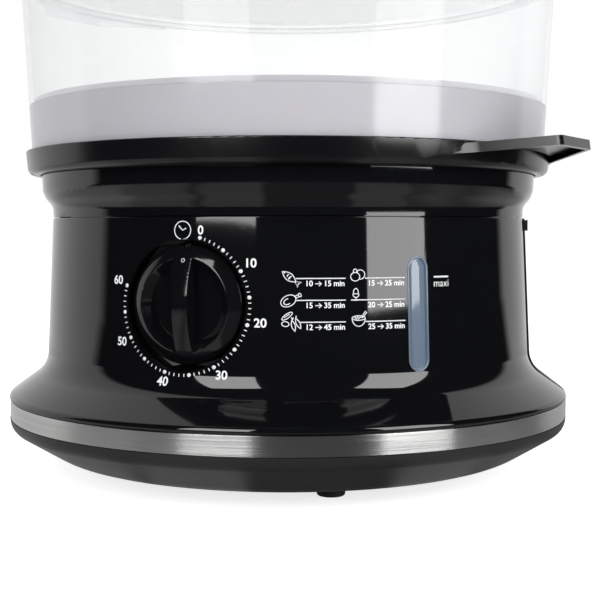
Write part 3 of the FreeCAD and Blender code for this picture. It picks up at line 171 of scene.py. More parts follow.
def modify(piece, kind, **values):
    """Add a modifier and apply it at once."""
    only(piece)
    bpy.ops.object.modifier_add(type=kind)
    modifier = piece.modifiers[-1]
    for name, value in values.items():
        setattr(modifier, name, value)
    bpy.ops.object.modifier_apply(modifier=modifier.name)
    return piece


def combine(piece, tool, operation="DIFFERENCE"):
    """Cut a tool from a piece, join it on, or keep what they share, and delete the tool."""
    modify(piece, "BOOLEAN", object=tool, operation=operation, solver="EXACT")
    only(tool)
    bpy.ops.object.delete()


def merge(pieces):
    """Join separate shells into the first of them."""
    only(*pieces)
    if len(pieces) > 1:
        bpy.ops.object.join()
    return pieces[0]


def smooth(piece, angle=30):
    """Smooth shading that keeps sharp edges and lets the big faces rule."""
    only(piece)
    bpy.ops.object.shade_smooth_by_angle(angle=math.radians(angle))
    return modify(piece, "WEIGHTED_NORMAL", mode="FACE_AREA", weight=100, keep_sharp=True)


def rounded(corners):
    """Points of an outline whose corners are (x, y) or (x, y, radius)."""
    points = []
    for i, (x, y, *radius) in enumerate(corners):
        if not radius:
            points.append((x, y))
            continue
        here = Vector((x, y))
        back = (Vector(corners[i - 1][:2]) - here).normalized()
        ahead = (Vector(corners[(i + 1) % len(corners)][:2]) - here).normalized()
        half = back.angle(ahead) / 2
        centre = here + (back + ahead).normalized() * (radius[0] / math.sin(half))
        first = here + back * (radius[0] / math.tan(half)) - centre
        bend = math.pi - 2 * half
        if back.x * ahead.y - back.y * ahead.x > 0:
            bend = -bend
        count = max(3, math.ceil(abs(bend) / math.radians(6)))
        for k in range(count + 1):
            step = first.copy()
            step.rotate(Matrix.Rotation(bend * k / count, 2))
            points.append(tuple(centre + step))
    return points


def ring(name, points):
    """A closed loop of edges, from a circle whose vertices go to the points."""
    bpy.ops.mesh.primitive_circle_add(vertices=len(points), fill_type="NOTHING")
    piece = named(name)
    for vertex, point in zip(piece.data.vertices, points):
        vertex.co = point
    return piece


def turned(name, section, start=0.0, sweep=360.0):
    """A section of (radius, height) points spun about Z, from an angle at the front."""
    a = math.radians(start)
    piece = ring(name, [(r * MM * math.sin(a), -r * MM * math.cos(a), z * MM) for r, z in section])
    steps = round(bpy.context.scene.steamer_sizes.turns * sweep / 360)
    edit(piece, lambda: bpy.ops.mesh.spin(steps=steps, angle=-math.radians(sweep), center=(0, 0, 0),
                                          axis=(0, 0, 1)), clean)
    if sweep < 360.0:
        edit(piece, lambda: bpy.ops.mesh.fill_holes(sides=0), clean)
    return piece


def prism(name, outline, low, high):
    """An outline in x and y, filled and extruded from one height to another."""
    piece = ring(name, [(x * MM, y * MM, low * MM) for x, y in outline])
    rise = {"value": (0, 0, (high - low) * MM)}
    return edit(piece, bpy.ops.mesh.edge_face_add,
                lambda: bpy.ops.mesh.extrude_region_move(TRANSFORM_OT_translate=rise), clean)


def disc(name, radius, low, high, faces=128):
    """A round tool, from a primitive at its size and place."""
    bpy.ops.mesh.primitive_cylinder_add(vertices=faces, radius=radius * MM, depth=(high - low) * MM,
                                        location=(0, 0, (low + high) / 2 * MM))
    return settle(named(name))


def settle(piece, place=None):
    """Put a piece's place into its mesh."""
    if place is not None:
        piece.matrix_world = place @ piece.matrix_world
    only(piece)
    bpy.ops.object.transform_apply(location=True, rotation=True, scale=True)
    return piece


def facing(angle=0.0, level=0.0):
    """From x to the right, y up and z out of the wall, at an angle from the front."""
    a = math.radians(angle)
    outward = Vector((math.sin(a), -math.cos(a), 0))
    right = Vector((math.cos(a), math.sin(a), 0))
    place = Matrix((right, Vector((0, 0, 1)), outward)).transposed().to_4x4()
    place.translation = Vector((0, 0, level * MM))
    return place


def dressed(node, bevel=0.0):
    """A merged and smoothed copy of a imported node, with its sharp edges rounded."""
    only(frame["nodes"][node])
    bpy.ops.object.duplicate()
    piece = named(f"{node}_finish")
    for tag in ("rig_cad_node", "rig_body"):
        if tag in piece:
            del piece[tag]
    edit(piece, lambda: bpy.ops.mesh.remove_doubles(threshold=2e-6),
         lambda: bpy.ops.mesh.dissolve_limited(angle_limit=math.radians(0.3)))
    if bevel:
        modify(piece, "BEVEL", width=bevel, segments=2, limit_method="ANGLE", angle_limit=math.radians(40),
               use_clamp_overlap=True)
    return smooth(piece)


def fit(piece, body, material, slot, *nodes):
    """Give a piece its finish, the body that it moves with and the nodes that it stands for."""
    piece.data.materials.clear()
    piece.data.materials.append(material)
    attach(piece, body)
    if nodes:
        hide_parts(*nodes)


def coat(material, *nodes):
    """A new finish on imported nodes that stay."""
    for node in nodes:
        part = frame["nodes"][node]
        part.data.materials.clear()
        part.data.materials.append(material)


# ---------------------------------------------------------------- finishes


class Wiring:
    """Short ways to add and join shader nodes in one tree. A value may be another node's socket."""

    def __init__(self, tree):
        self.tree = tree

    def add(self, kind, settings=None, **inputs):
        node = self.tree.nodes.new(kind)
        for name, value in (settings or {}).items():
            setattr(node, name, value)
        for name, value in inputs.items():
            self.set(node.inputs[name.replace("_", " ")], value)
        return node

    def set(self, socket, value):
        if hasattr(value, "is_output"):
            self.tree.links.new(value, socket)
        else:
            socket.default_value = value

    def math(self, operation, *values):
        node = self.tree.nodes.new("ShaderNodeMath")
        node.operation = operation
        for socket, value in zip(node.inputs, values):
            self.set(socket, value)
        return node.outputs[0]

    def noise(self, position, scale, detail=3.0, roughness=0.5):
        return self.add("ShaderNodeTexNoise", Vector=position, Scale=scale, Detail=detail,
                        Roughness=roughness).outputs["Fac"]

    def stretch(self, position, scale):
        return self.add("ShaderNodeMapping", Vector=position, Scale=scale).outputs[0]

    def spread(self, value, low, high, to_low, to_high):
        node = self.add("ShaderNodeMapRange", Value=value)
        for name, number in zip(("From Min", "From Max", "To Min", "To Max"), (low, high, to_low, to_high)):
            self.set(node.inputs[name], number)
        return node.outputs[0]

    def ramp(self, value, stops):
        """Brightness over an angle round the steamer: stops are (degrees from the camera's place, value)."""
        node = self.add("ShaderNodeValToRGB", Fac=value)
        places = node.color_ramp.elements
        for _ in stops[2:]:
            places.new(0.5)
        for place, (degrees, level) in zip(places, stops):
            place.position, place.color = 0.5 + degrees / 360, (level, level, level, 1)
        return node.outputs[0]

    def blend(self, factor, first, second):
        node = self.tree.nodes.new("ShaderNodeMix")
        node.data_type = "RGBA"
        for index, value in ((0, factor), (6, first), (7, second)):
            self.set(node.inputs[index], value)
        return node.outputs[2]


def group(name, inputs, outputs, build):
    """A shader node group with named sockets, built once."""
    if name in bpy.data.node_groups:
        return bpy.data.node_groups[name]
    tree = bpy.data.node_groups.new(name, "ShaderNodeTree")
    for label, kind, default in inputs:
        socket = tree.interface.new_socket(label, in_out="INPUT", socket_type=f"NodeSocket{kind}")
        socket.default_value = default
    for label, kind in outputs:
        tree.interface.new_socket(label, in_out="OUTPUT", socket_type=f"NodeSocket{kind}")
    into, out = tree.nodes.new("NodeGroupInput"), tree.nodes.new("NodeGroupOutput")
    build(Wiring(tree), into.outputs, out.inputs)
    return tree


def moulding_group():
    """Moulded plastic: slight flow marks in the colour, fine scuffs and a faint orange peel."""
    def build(w, given, out):
        where = given["Position"]
        flow = w.spread(w.noise(w.stretch(where, (22, 22, 9)), 1.0), 0.3, 0.7, 0.0, 1.0)
        w.set(out["Colour"], w.blend(flow, given["Colour"], given["Second colour"]))
        scuffs = w.spread(w.noise(w.stretch(where, (340, 340, 1900)), 1.0, 2.0), 0.56, 0.74, 0.0, 1.0)
        haze = w.spread(w.noise(where, 35.0, 4.0, 0.6), 0.42, 0.7, 0.0, 1.0)
        wear = w.math("MULTIPLY", scuffs, haze)
        w.set(out["Roughness"], w.math("ADD", given["Roughness"], w.math("MULTIPLY", wear, given["Scuffs"])))
        grain = w.noise(where, given["Grain scale"], 2.0)
        w.set(out["Height"], w.math("MULTIPLY", grain, given["Grain depth"]))
    return group("Moulded plastic", [
        ("Position", "Vector", (0, 0, 0)), ("Colour", "Color", (0, 0, 0, 1)),
        ("Second colour", "Color", (0, 0, 0, 1)), ("Roughness", "Float", 0.1), ("Scuffs", "Float", 0.05),
        ("Grain scale", "Float", 900.0), ("Grain depth", "Float", 0.1)],
        [("Colour", "Color"), ("Roughness", "Float"), ("Height", "Float")], build)


def brushed_group():
    """Brushed metal: long lines round the Z axis, as a belt leaves them."""
    def build(w, given, out):
        x, y, z = w.add("ShaderNodeSeparateXYZ", Vector=given["Position"]).outputs
        angle = w.math("ARCTAN2", x, w.math("MULTIPLY", y, -1.0))
        lines = w.add("ShaderNodeCombineXYZ", X=w.math("MULTIPLY", angle, given["Along"]),
                      Y=w.math("MULTIPLY", z, given["Across"])).outputs[0]
        fine = w.noise(lines, 1.0, 3.0, 0.6)
        coarse = w.noise(w.stretch(lines, (0.5, 0.23, 1)), 1.0, 2.0)
        both = w.math("ADD", w.math("MULTIPLY", fine, 0.6), w.math("MULTIPLY", coarse, 0.4))
        w.set(out["Colour"], w.blend(w.spread(both, 0.3, 0.7, 0.0, 1.0), given["Dark line"], given["Colour"]))
        roughest = w.math("ADD", given["Roughness"], 0.14)
        w.set(out["Roughness"], w.spread(both, 0.3, 0.7, given["Roughness"], roughest))
        w.set(out["Height"], both)
    return group("Brushed metal", [
        ("Position", "Vector", (0, 0, 0)), ("Colour", "Color", (0.5, 0.5, 0.5, 1)),
        ("Dark line", "Color", (0.4, 0.4, 0.4, 1)), ("Roughness", "Float", 0.3), ("Along", "Float", 3.0),
        ("Across", "Float", 2600.0)],
        [("Colour", "Color"), ("Roughness", "Float"), ("Height", "Float")], build)


def new_finish(name):
    """A material with its wiring, Principled shader and Object coordinates."""
    material = bpy.data.materials.new(name)
    material.use_nodes = True
    tree = material.node_tree
    tree.nodes.clear()
    w = Wiring(tree)
    shader = w.add("ShaderNodeBsdfPrincipled")
    w.add("ShaderNodeOutputMaterial", Surface=shader.outputs[0])
    return material, w, shader, w.add("ShaderNodeTexCoord").outputs["Object"]


def rgba(value, gain=1.0):
    """A colour with its alpha, made lighter or darker by a gain."""
    return (*[min(1.0, c * gain) for c in value[:3]], 1.0)


def dress_shader(w, shader, node, bump, depth):
    """Colour, roughness and relief of a group, joined to the shader."""
    w.set(shader.inputs["Base Color"], node.outputs["Colour"])
    w.set(shader.inputs["Roughness"], node.outputs["Roughness"])
    relief = w.add("ShaderNodeBump", Strength=bump, Distance=depth, Height=node.outputs["Height"])
    w.set(shader.inputs["Normal"], relief.outputs[0])


def plastic(name, base, rough, scuffs=0.05, grain=(900.0, 0.1), bump=0.02, variation=1.12, **sockets):
    """Moulded plastic in one colour."""
    material, w, shader, where = new_finish(name)
    node = w.add("ShaderNodeGroup", {"node_tree": moulding_group()}, Position=where, Colour=rgba(base),
                 Second_colour=rgba(base, variation), Roughness=rough, Scuffs=scuffs, Grain_scale=grain[0],
                 Grain_depth=grain[1])
    dress_shader(w, shader, node, bump, 0.0002)
    for label, value in sockets.items():
        shader.inputs[label.replace("_", " ")].default_value = value
    return material


def metal(name, base, rough, along=3.0, across=2600.0, dark=0.8, bump=0.05, drawn=0.0):
    """Metal with lines round the axis; drawn lights stretch upright, across the lines."""
    material, w, shader, where = new_finish(name)
    node = w.add("ShaderNodeGroup", {"node_tree": brushed_group()}, Position=where, Colour=rgba(base),
                 Dark_line=rgba(base, dark), Roughness=rough, Along=along, Across=across)
    dress_shader(w, shader, node, bump, 0.0001)
    shader.inputs["Metallic"].default_value = 1.0
    if drawn:
        shader.inputs["Anisotropic"].default_value = drawn
        w.set(shader.inputs["Tangent"], w.add("ShaderNodeCombineXYZ", Z=1.0).outputs[0])
    return material


def clear(name, tint, alpha, edge_alpha, rough=0.04):
    """Clear plastic, thicker to look at where it turns away."""
    material, w, shader, where = new_finish(name)
    node = w.add("ShaderNodeGroup", {"node_tree": moulding_group()}, Position=where, Colour=rgba(tint),
                 Second_colour=rgba(tint, 0.96), Roughness=rough, Scuffs=0.12, Grain_scale=300.0,
                 Grain_depth=0.1)
    w.set(shader.inputs["Base Color"], node.outputs["Colour"])
    w.set(shader.inputs["Roughness"], node.outputs["Roughness"])
    rim = w.add("ShaderNodeLayerWeight", Blend=0.35).outputs["Facing"]
    w.set(shader.inputs["Alpha"], w.spread(rim, 0.0, 1.0, alpha, edge_alpha))
    shader.inputs["IOR"].default_value = 1.58
    material.surface_render_method = "BLENDED"
    return material


def finish(name):
    """One of the finishes, made when a piece first asks for it."""
    if name in bpy.data.materials:
        return bpy.data.materials[name]
    return FINISHES[name](name, bpy.context.scene.steamer_colours)


# Plastics have colour, roughness, scuffs, (grain scale, grain depth), relief and how the flow marks differ;
# metals have colour, roughness, lines along and across, and how dark the lines are; clear plastics have tint
# and the opacity face on and at the edge.
FINISHES = {
    "Gloss black": lambda n, c: plastic(n, c.gloss, 0.045, 0.05, (650.0, 0.5), 0.012, IOR=1.52),
    "Tray black": lambda n, c: plastic(n, c.gloss, 0.2, 0.07, (700.0, 0.5), 0.014, 1.2, IOR=1.5),
    "Knob black": lambda n, c: plastic(n, c.gloss, 0.07, 0.06, (900.0, 0.5), 0.02, 1.25, IOR=1.5),
    "Satin black": lambda n, c: plastic(n, c.matt, 0.4, 0.1, (2600.0, 1.0), 0.16, 1.15, IOR=1.36),
    "Panel black": lambda n, c: plastic(n, c.matt, 0.36, 0.1, (2400.0, 1.0), 0.12, 1.15),
    "Rubber": lambda n, c: plastic(n, c.rubber, 0.62, 0.15, (3200.0, 1.0), 0.3, 1.3),
    "Seal rubber": lambda n, c: plastic(n, (0.2, 0.2, 0.2), 0.6, 0.1, (3000.0, 1.0), 0.25, 1.1),
    "Pale plastic": lambda n, c: plastic(n, c.pale, 0.12, 0.06, (500.0, 0.4), 0.012, 1.05, IOR=1.5,
                                         Subsurface_Weight=0.25, Subsurface_Scale=0.004),
    "White plastic": lambda n, c: plastic(n, (0.66, 0.66, 0.63), 0.35, 0.1, (1800.0, 0.8), 0.08, 1.06),
    "Brown plastic": lambda n, c: plastic(n, (0.12, 0.055, 0.03), 0.4, 0.1, (2000.0, 1.0), 0.15, 1.2),
    "Cream plastic": lambda n, c: plastic(n, (0.5, 0.48, 0.42), 0.4, 0.1, (2000.0, 1.0), 0.12, 1.08),
    "Brushed steel": lambda n, c: metal(n, c.steel, 0.16, 2.2, 2600.0, 0.78, drawn=1.0),
    "Heating sheath": lambda n, c: metal(n, (0.42, 0.40, 0.37), 0.3, 30.0, 900.0, 0.85),
    "Zinc sheet": lambda n, c: metal(n, (0.6, 0.6, 0.57), 0.32, 12.0, 600.0, 0.88),
    "Turned brass": lambda n, c: metal(n, (0.62, 0.44, 0.16), 0.28, 8.0, 4000.0, 0.85),
    "Clear wall": lambda n, c: clear(n, c.clear, 0.10, 0.5),
    "Clear chamber": lambda n, c: clear(n, c.clear, 0.3, 0.7),
    "Gauge lens": lambda n, c: clear(n, c.water, 0.95, 0.98, 0.05),
    "White print": lambda n, c: plastic(n, c.ink, 0.45, 0.1, (3000.0, 0.6), 0.05, 0.95),
}


# ---------------------------------------------------------------- studio

# Brightness round the steamer, as (degrees to the right of the camera's place, value). ROOM is what glossy
# pieces show of the walls, TABLE_TOP is what they show of the floor close by, and LIGHT is the even light
# that falls on everything.
BACK = 180.0
ROOM = ((-BACK, 0.85), (-98.0, 0.85), (-92.0, 0.008), (116.0, 0.008), (122.0, 0.85), (BACK, 0.85))
LIGHT = ((-BACK, 1.0), (-95.0, 1.0), (-55.0, 0.3), (75.0, 0.3), (110.0, 1.0), (BACK, 1.0))
TABLE_TOP = (
    (-BACK, 0.5), (-100.0, 0.6), (-76.0, 0.75), (-68.0, 0.5), (-41.0, 0.5), (-37.0, 0.2), (-33.0, 0.5),
    (-11.0, 0.5), (-9.0, 0.14), (24.0, 0.12), (27.0, 0.5), (48.0, 0.5), (51.0, 0.26), (66.0, 0.42),
    (80.0, 0.22), (100.0, 0.4), (BACK, 0.5))
TABLE_EDGE, ROOM_START = 0.45, 0.9  # distances from the axis, in metres
FLOOR_SIZE, FLOOR_GAP, FLOOR_GLOW = 8.0, 0.0004, 0.76
WHITE, PAPER, PAPER_SHADE = (1, 1, 1, 1), (0.95, 0.95, 0.95, 1), (0.92, 0.92, 0.92, 1)
SOFT_BOX_DISTANCE = 1.15
SOFT_BOXES = (  # name, left and right edge in degrees, low and high edge in metres
    ("softbox_left", -40.5, -14.0, 0.222, 1.2),
    ("softbox_right", 34.0, 62.3, 0.105, 1.2),
)


def bearing_group():
    """Angle of a direction round the Z axis, from 0 to 1 with the camera's place at a half."""
    def build(w, given, out):
        parts = []
        for label in ("Right", "Front"):
            along = w.add("ShaderNodeVectorMath", {"operation": "DOT_PRODUCT"})
            w.set(along.inputs[0], given["Direction"])
            w.set(along.inputs[1], given[label])
            parts.append(along.outputs["Value"])
        angle = w.math("ARCTAN2", *parts)
        w.set(out["Bearing"], w.spread(angle, -math.pi, math.pi, 0.0, 1.0))
    return group("Bearing", [
        ("Direction", "Vector", (0, 0, 0)), ("Front", "Vector", (0, -1, 0)), ("Right", "Vector", (1, 0, 0))],
        [("Bearing", "Float")], build)


def around(studio, degrees):
    """Unit direction on the floor, that many degrees to the right of the camera's place."""
    a = studio.azimuth + math.radians(degrees)
    return Vector((math.sin(a), -math.cos(a), 0.0))


def bearing(w, studio, direction):
    """The bearing group, set to the camera's place."""
    return w.add("ShaderNodeGroup", {"node_tree": bearing_group()}, Direction=direction,
                 Front=around(studio, 0.0), Right=around(studio, 90.0)).outputs[0]


def mix(w, factor, first, second):
    """One shader or the other by a factor."""
    node = w.add("ShaderNodeMixShader", Fac=factor)
    w.set(node.inputs[1], first.outputs[0])
    w.set(node.inputs[2], second.outputs[0])
    return node


def floor(studio):
    """Pale floor: white to the camera, with the steamer's shadow, and lit in parts to reflections."""
    paper, w, shader, where = new_finish("Studio floor")
    w.set(shader.inputs["Base Color"], w.blend(w.noise(where, 60.0), PAPER_SHADE, PAPER))
    shader.inputs["Roughness"].default_value = 0.9
    shader.inputs["Specular IOR Level"].default_value = 0.0
    path = w.add("ShaderNodeLightPath").outputs
    angle = bearing(w, studio, where)
    distance = w.add("ShaderNodeVectorMath", {"operation": "LENGTH"})
    w.set(distance.inputs[0], where)
    far = w.spread(distance.outputs["Value"], TABLE_EDGE, ROOM_START, 0.0, 1.0)
    lit = w.add("ShaderNodeEmission", Color=w.blend(far, w.ramp(angle, TABLE_TOP), w.ramp(angle, ROOM)))
    glow = w.add("ShaderNodeEmission", Color=WHITE, Strength=FLOOR_GLOW)
    pale = w.add("ShaderNodeAddShader")
    w.set(pale.inputs[0], shader.outputs[0])
    w.set(pale.inputs[1], glow.outputs[0])
    seen = w.math("MAXIMUM", path["Is Camera Ray"], path["Is Transmission Ray"])
    surface = mix(w, path["Is Glossy Ray"], mix(w, seen, shader, pale), lit)
    w.set(w.tree.nodes["Material Output"].inputs["Surface"], surface.outputs[0])
    bpy.ops.mesh.primitive_plane_add(size=FLOOR_SIZE, location=(0, 0, -FLOOR_GAP))
    piece = settle(named("studio_floor"))
    piece.data.materials.append(paper)


def sky(studio):
    """White room with a darker front, where the camera stands."""
    world = bpy.data.worlds.new("Studio room")
    bpy.context.scene.world = world
    world.use_nodes = True
    world.node_tree.nodes.clear()
    w = Wiring(world.node_tree)
    angle = bearing(w, studio, w.add("ShaderNodeTexCoord").outputs["Generated"])
    path = w.add("ShaderNodeLightPath").outputs
    glossy = w.add("ShaderNodeBackground", Color=w.ramp(angle, ROOM))
    even = w.add("ShaderNodeBackground", Color=w.ramp(angle, LIGHT), Strength=studio.fill)
    white = w.add("ShaderNodeBackground", Color=WHITE)
    seen = w.math("MAXIMUM", path["Is Camera Ray"], path["Is Transmission Ray"])
    w.add("ShaderNodeOutputWorld",
          Surface=mix(w, seen, mix(w, path["Is Glossy Ray"], even, glossy), white).outputs[0])


def soft_box(studio, name, left, right, low, high):
    """An upright soft box between two bearings and two heights, facing the steamer's axis."""
    outward = around(studio, (left + right) / 2)
    spot = outward * SOFT_BOX_DISTANCE + Vector((0, 0, (low + high) / 2))
    bpy.ops.object.light_add(type="AREA", location=spot)
    lamp = named(name)
    lamp.rotation_euler = (-outward).to_track_quat("-Z", "Y").to_euler()
    lamp.data.shape = "RECTANGLE"
    lamp.data.size = 2 * SOFT_BOX_DISTANCE * math.tan(math.radians(right - left) / 2)
    lamp.data.size_y = high - low
    lamp.data.energy = studio.boxes * math.pi * lamp.data.size * lamp.data.size_y


def stage(studio):
    """Floor, room, soft boxes and camera."""
    scene = bpy.context.scene
    scene.view_settings.view_transform = "Standard"
    floor(studio)
    sky(studio)
    for box in SOFT_BOXES:
        soft_box(studio, *box)
    bpy.ops.object.camera_add(location=around(studio, 0.0) * studio.distance + Vector((0, 0, studio.height)),
                              rotation=(math.pi / 2 - studio.pitch, 0, studio.azimuth - studio.yaw))
    camera = named("product_camera")
    camera.data.lens, camera.data.sensor_width = studio.lens, 36.0
    camera.data.clip_start, camera.data.clip_end = 0.01, 50.0
    scene.camera = camera


# ---------------------------------------------------------------- mouldings

HOUSING_END = 100.88  # degrees from the front to each side edge of the housing and the band
SHELL, MEAN_RADIUS = 2.6, 117.0  # the wall's thickness, and about its mean radius
LIP_IN, LIP_LOW, WALL_IN_TOP, WALL_TOP = 134.6, 36.1, 113.15, 122.4
WALL_FOOT, WALL_LEAN = (119.05, 51.6), 3.3 / 70.8
OUTER_WALL = rounded([
    (LIP_IN, LIP_LOW), (137.2, LIP_LOW, 0.6), (137.2, 38.3, 2.4), (*WALL_FOOT, 13.8),
    (WALL_IN_TOP + SHELL, WALL_TOP, 0.6), (WALL_IN_TOP, WALL_TOP)])
INNER_WALL = rounded([(WALL_IN_TOP, WALL_TOP), (116.45, 50.28, 16.4), (LIP_IN, 36.98)])
CORE = [(0, 40), (117.64, 54), (114.47, 121.9), (0, 121.9)]  # space inside the middle of the wall
BAND = [(136.0, 27.15), (136.9, 27.15, 0.2), (136.9, 35.8, 0.2), (136.0, 35.8)]
DIAL_LEVEL, DIAL_FLOOR, DIAL_RECESS, DIAL_CUP, SHAFT_HOLE = 85.6, 107.165, 27.3, 29.1, 4.2
KNOB_MARK = 18.6  # from the knob's middle to the ring printed on its bar
GAUGE_ANGLE, GAUGE_LOW, GAUGE_HIGH, GAUGE_WIDTH = 49.5, 58.4, 105.0, 8.4
LENS_GAP = 0.1
LENS = (  # distance in from the slot's edge and depth below the wall, from the back to the middle of the face
    (0.0, 4.0), (0.0, 0.3), (-0.95, 0.3), (-0.95, -0.06), (-0.8, -0.18), (-0.5, -0.22), (-0.2, -0.17),
    (-0.02, 0.0), (0.05, 0.75), (0.35, 0.82), (0.8, 0.62), (1.5, 0.45), (2.4, 0.35), (3.4, 0.3))
COLLAR_TOP, COLLAR_LOW, NECK_TOP, COLLAR_INSIDE = 144.0, 133.1, 127.8, 110.0
RIM_RADIUS, RIM_TOP, RIM_LOW, RIM_ROUND = 128.2, 154.1, 142.9, 3.05
NEAR = 0.05  # a vertex this close to a face counts as on it


def slot_outline(low, high, width, count=14):
    """A slot with round ends, about x = 0."""
    r = width / 2
    top = [(r * math.cos(math.pi * k / count), high - r + r * math.sin(math.pi * k / count))
           for k in range(count + 1)]
    return top + [(-x, low + high - y) for x, y in top]


def housing(sizes):
    """Flared front housing with the dial's round recess and the gauge slot."""
    piece = turned("front_housing_moulding", OUTER_WALL + INNER_WALL[1:], -HOUSING_END, 2 * HOUSING_END)
    cup = settle(disc("cup", DIAL_CUP, DIAL_FLOOR - SHELL, 130.0), facing(0, DIAL_LEVEL))
    combine(cup, turned("core", CORE), "INTERSECT")
    combine(piece, cup, "UNION")
    # the tools that cut run past the wall
    combine(piece, settle(disc("recess", DIAL_RECESS, DIAL_FLOOR, 140.0), facing(0, DIAL_LEVEL)))
    combine(piece, settle(disc("shaft_hole", SHAFT_HOLE, 90.0, 120.0, 48), facing(0, DIAL_LEVEL)))
    slot = prism("slot", slot_outline(GAUGE_LOW, GAUGE_HIGH, GAUGE_WIDTH), 100.0, 140.0)
    combine(piece, settle(slot, facing(GAUGE_ANGLE)))
    modify(piece, "BEVEL", width=sizes.edge, segments=2, limit_method="ANGLE", angle_limit=math.radians(55),
           use_clamp_overlap=True)
    fit(smooth(piece, 28), "base", finish("Gloss black"), "housing_black", "front_housing")


def base():
    """Satin bottom cover and rear panel, brushed band and rubber feet."""
    fit(dressed("bottom_cover"), "base", finish("Satin black"), "cover_black", "bottom_cover")
    fit(dressed("rear_panel", 0.2 * MM), "base", finish("Panel black"), "rear_black", "rear_panel")
    band = turned("steel_band_strip", rounded(BAND), -HOUSING_END, 2 * HOUSING_END)
    fit(smooth(band), "base", finish("Brushed steel"), "band_steel", "steel_band")
    for name in ("foot_front_right", "foot_rear_right", "foot_rear_left", "foot_front_left"):
        fit(dressed(name), "base", finish("Rubber"), "foot_rubber", name)


def taper(piece, chosen, top, low, foot, angle):
    """Lean the chosen surface inwards from its top down to its low edge, and let it run out at its foot."""
    for vertex in piece.data.vertices:
        radius, z = vertex.co.xy.length / MM, vertex.co.z / MM
        if foot < z < top and chosen(radius, z):
            drop = top - z if z > low else (top - low) * (z - foot) / (low - foot)
            vertex.co.xy *= 1 - drop * math.tan(angle) / radius
    return smooth(piece)


def tank(sizes):
    """Glossy collar and the tank under it."""
    piece = taper(dressed("tank_collar"), lambda radius, z: radius > COLLAR_INSIDE, COLLAR_TOP, COLLAR_LOW,
                  NECK_TOP, sizes.collar_draft)
    fit(piece, "base", finish("Gloss black"), "collar_black", "tank_collar")
    fit(dressed("water_tank"), "base", finish("Tray black"), "tank_black", "water_tank")


def tray(sizes):
    """Drip tray with its rim, chimney and two finger lugs."""
    piece = dressed("drip_tray", sizes.edge)

    def on_skirt(radius, z):
        on_outside = abs(radius - RIM_RADIUS) < NEAR
        on_low_edge = RIM_RADIUS - RIM_ROUND - NEAR < radius < RIM_RADIUS and z < RIM_LOW + RIM_ROUND
        return on_outside or on_low_edge

    taper(piece, on_skirt, RIM_TOP, RIM_LOW, RIM_LOW - 1, sizes.rim_draft)
    fit(piece, "tray", finish("Tray black"), "tray_black", "drip_tray")


def bowl():
    """Pale foot with the steam grid, and the clear wall above it."""
    fit(dressed("bowl_base"), "bowl", finish("Pale plastic"), "bowl_foot_plastic", "bowl_base")
    fit(dressed("bowl_wall"), "bowl", finish("Clear wall"), "bowl_clear", "bowl_wall")


def lid():
    """Domed clear lid with its black grip."""
    fit(dressed("lid_shell"), "lid", finish("Clear wall"), "lid_clear", "lid_shell")
    fit(dressed("lid_handle"), "lid", finish("Gloss black"), "handle_black", "lid_handle")


def knob(sizes):
    """Domed knob with a grip bar between two scooped hollows, and a small ring printed on the bar."""
    piece = dressed("dial_knob", sizes.edge)
    fit(piece, "timer_knob", finish("Knob black"), "knob_black", "dial_knob")
    mark = strokes("knob_mark", [(0.28, arc(0, KNOB_MARK, 0.7, 0.7, 0, 345, 23), True)])
    lay(mark, piece, 0, DIAL_LEVEL, sizes.ink_height)
    fit(mark, "timer_knob", finish("White print"), "knob_black")


def gauge():
    """Domed lens of the water gauge, with a thin bead that covers the slot's edge."""
    loops = []
    for inset, drop in LENS:
        edge = LENS_GAP + inset
        outline = slot_outline(GAUGE_LOW + edge, GAUGE_HIGH - edge, GAUGE_WIDTH - 2 * edge, 18)
        face = WALL_FOOT[0] + WALL_LEAN * WALL_FOOT[1] - drop
        loops.append([(x * MM, y * MM, (face - WALL_LEAN * y - x * x / (2 * MEAN_RADIUS)) * MM)
                      for x, y in outline])
    strips = [edit(merge([ring("lens_strip", outer), ring("lens_strip", inner)]),
                   bpy.ops.mesh.bridge_edge_loops, mode="EDGE") for outer, inner in zip(loops, loops[1:])]
    piece = edit(merge(strips), clean, lambda: bpy.ops.mesh.fill_holes(sides=0), clean)
    piece.name = piece.data.name = "level_lens"
    settle(piece, facing(GAUGE_ANGLE))
    fit(smooth(piece, 50), "base", finish("Gauge lens"), "window_plastic", "level_window")


def inner_parts():
    """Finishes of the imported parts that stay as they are."""
    coat(finish("Zinc sheet"), "cover_screws", "heater_plate", "heater_screws", "timer_bracket", "timer_bell",
         "timer_screws", "lid_screws")
    coat(finish("Seal rubber"), "window_gasket", "heater_gasket")
    coat(finish("Rubber"), "cord_gland", "gland_nut")
    coat(finish("White plastic"), "terminal_block", "turbo_ring")
    coat(finish("Clear chamber"), "sight_chamber")
    coat(finish("Heating sheath"), "heating_element")
    coat(finish("Brown plastic"), "thermal_cutout")
    coat(finish("Cream plastic"), "timer_case")
    coat(finish("Turned brass"), "timer_shaft")


# ---------------------------------------------------------------- printing

OUTSIDE = 0.2  # a radius outside the wall, in metres, from where a print is laid on it
INK_BODY = 0.06  # share of a stroke's own height that the ink keeps
CAPITAL = 0.69  # height of a capital at a text size of one


def arc(x, y, rx, ry, start, end, count=16):
    """Points of an elliptical arc, counted from +x."""
    return [(x + rx * math.cos(math.radians(start + (end - start) * k / count)),
             y + ry * math.sin(math.radians(start + (end - start) * k / count))) for k in range(count + 1)]


def leaning(points, x, y, lean):
    """Points turned by an angle and moved to a place."""
    c, s = math.cos(math.radians(lean)), math.sin(math.radians(lean))
    return [(x + c * px - s * py, y + s * px + c * py) for px, py in points]


def oval(x, y, long, wide, lean=0.0, count=24):
    """An ellipse of two diameters."""
    return leaning(arc(0, 0, long / 2, wide / 2, 0, 360 - 360 / count, count - 1), x, y, lean)


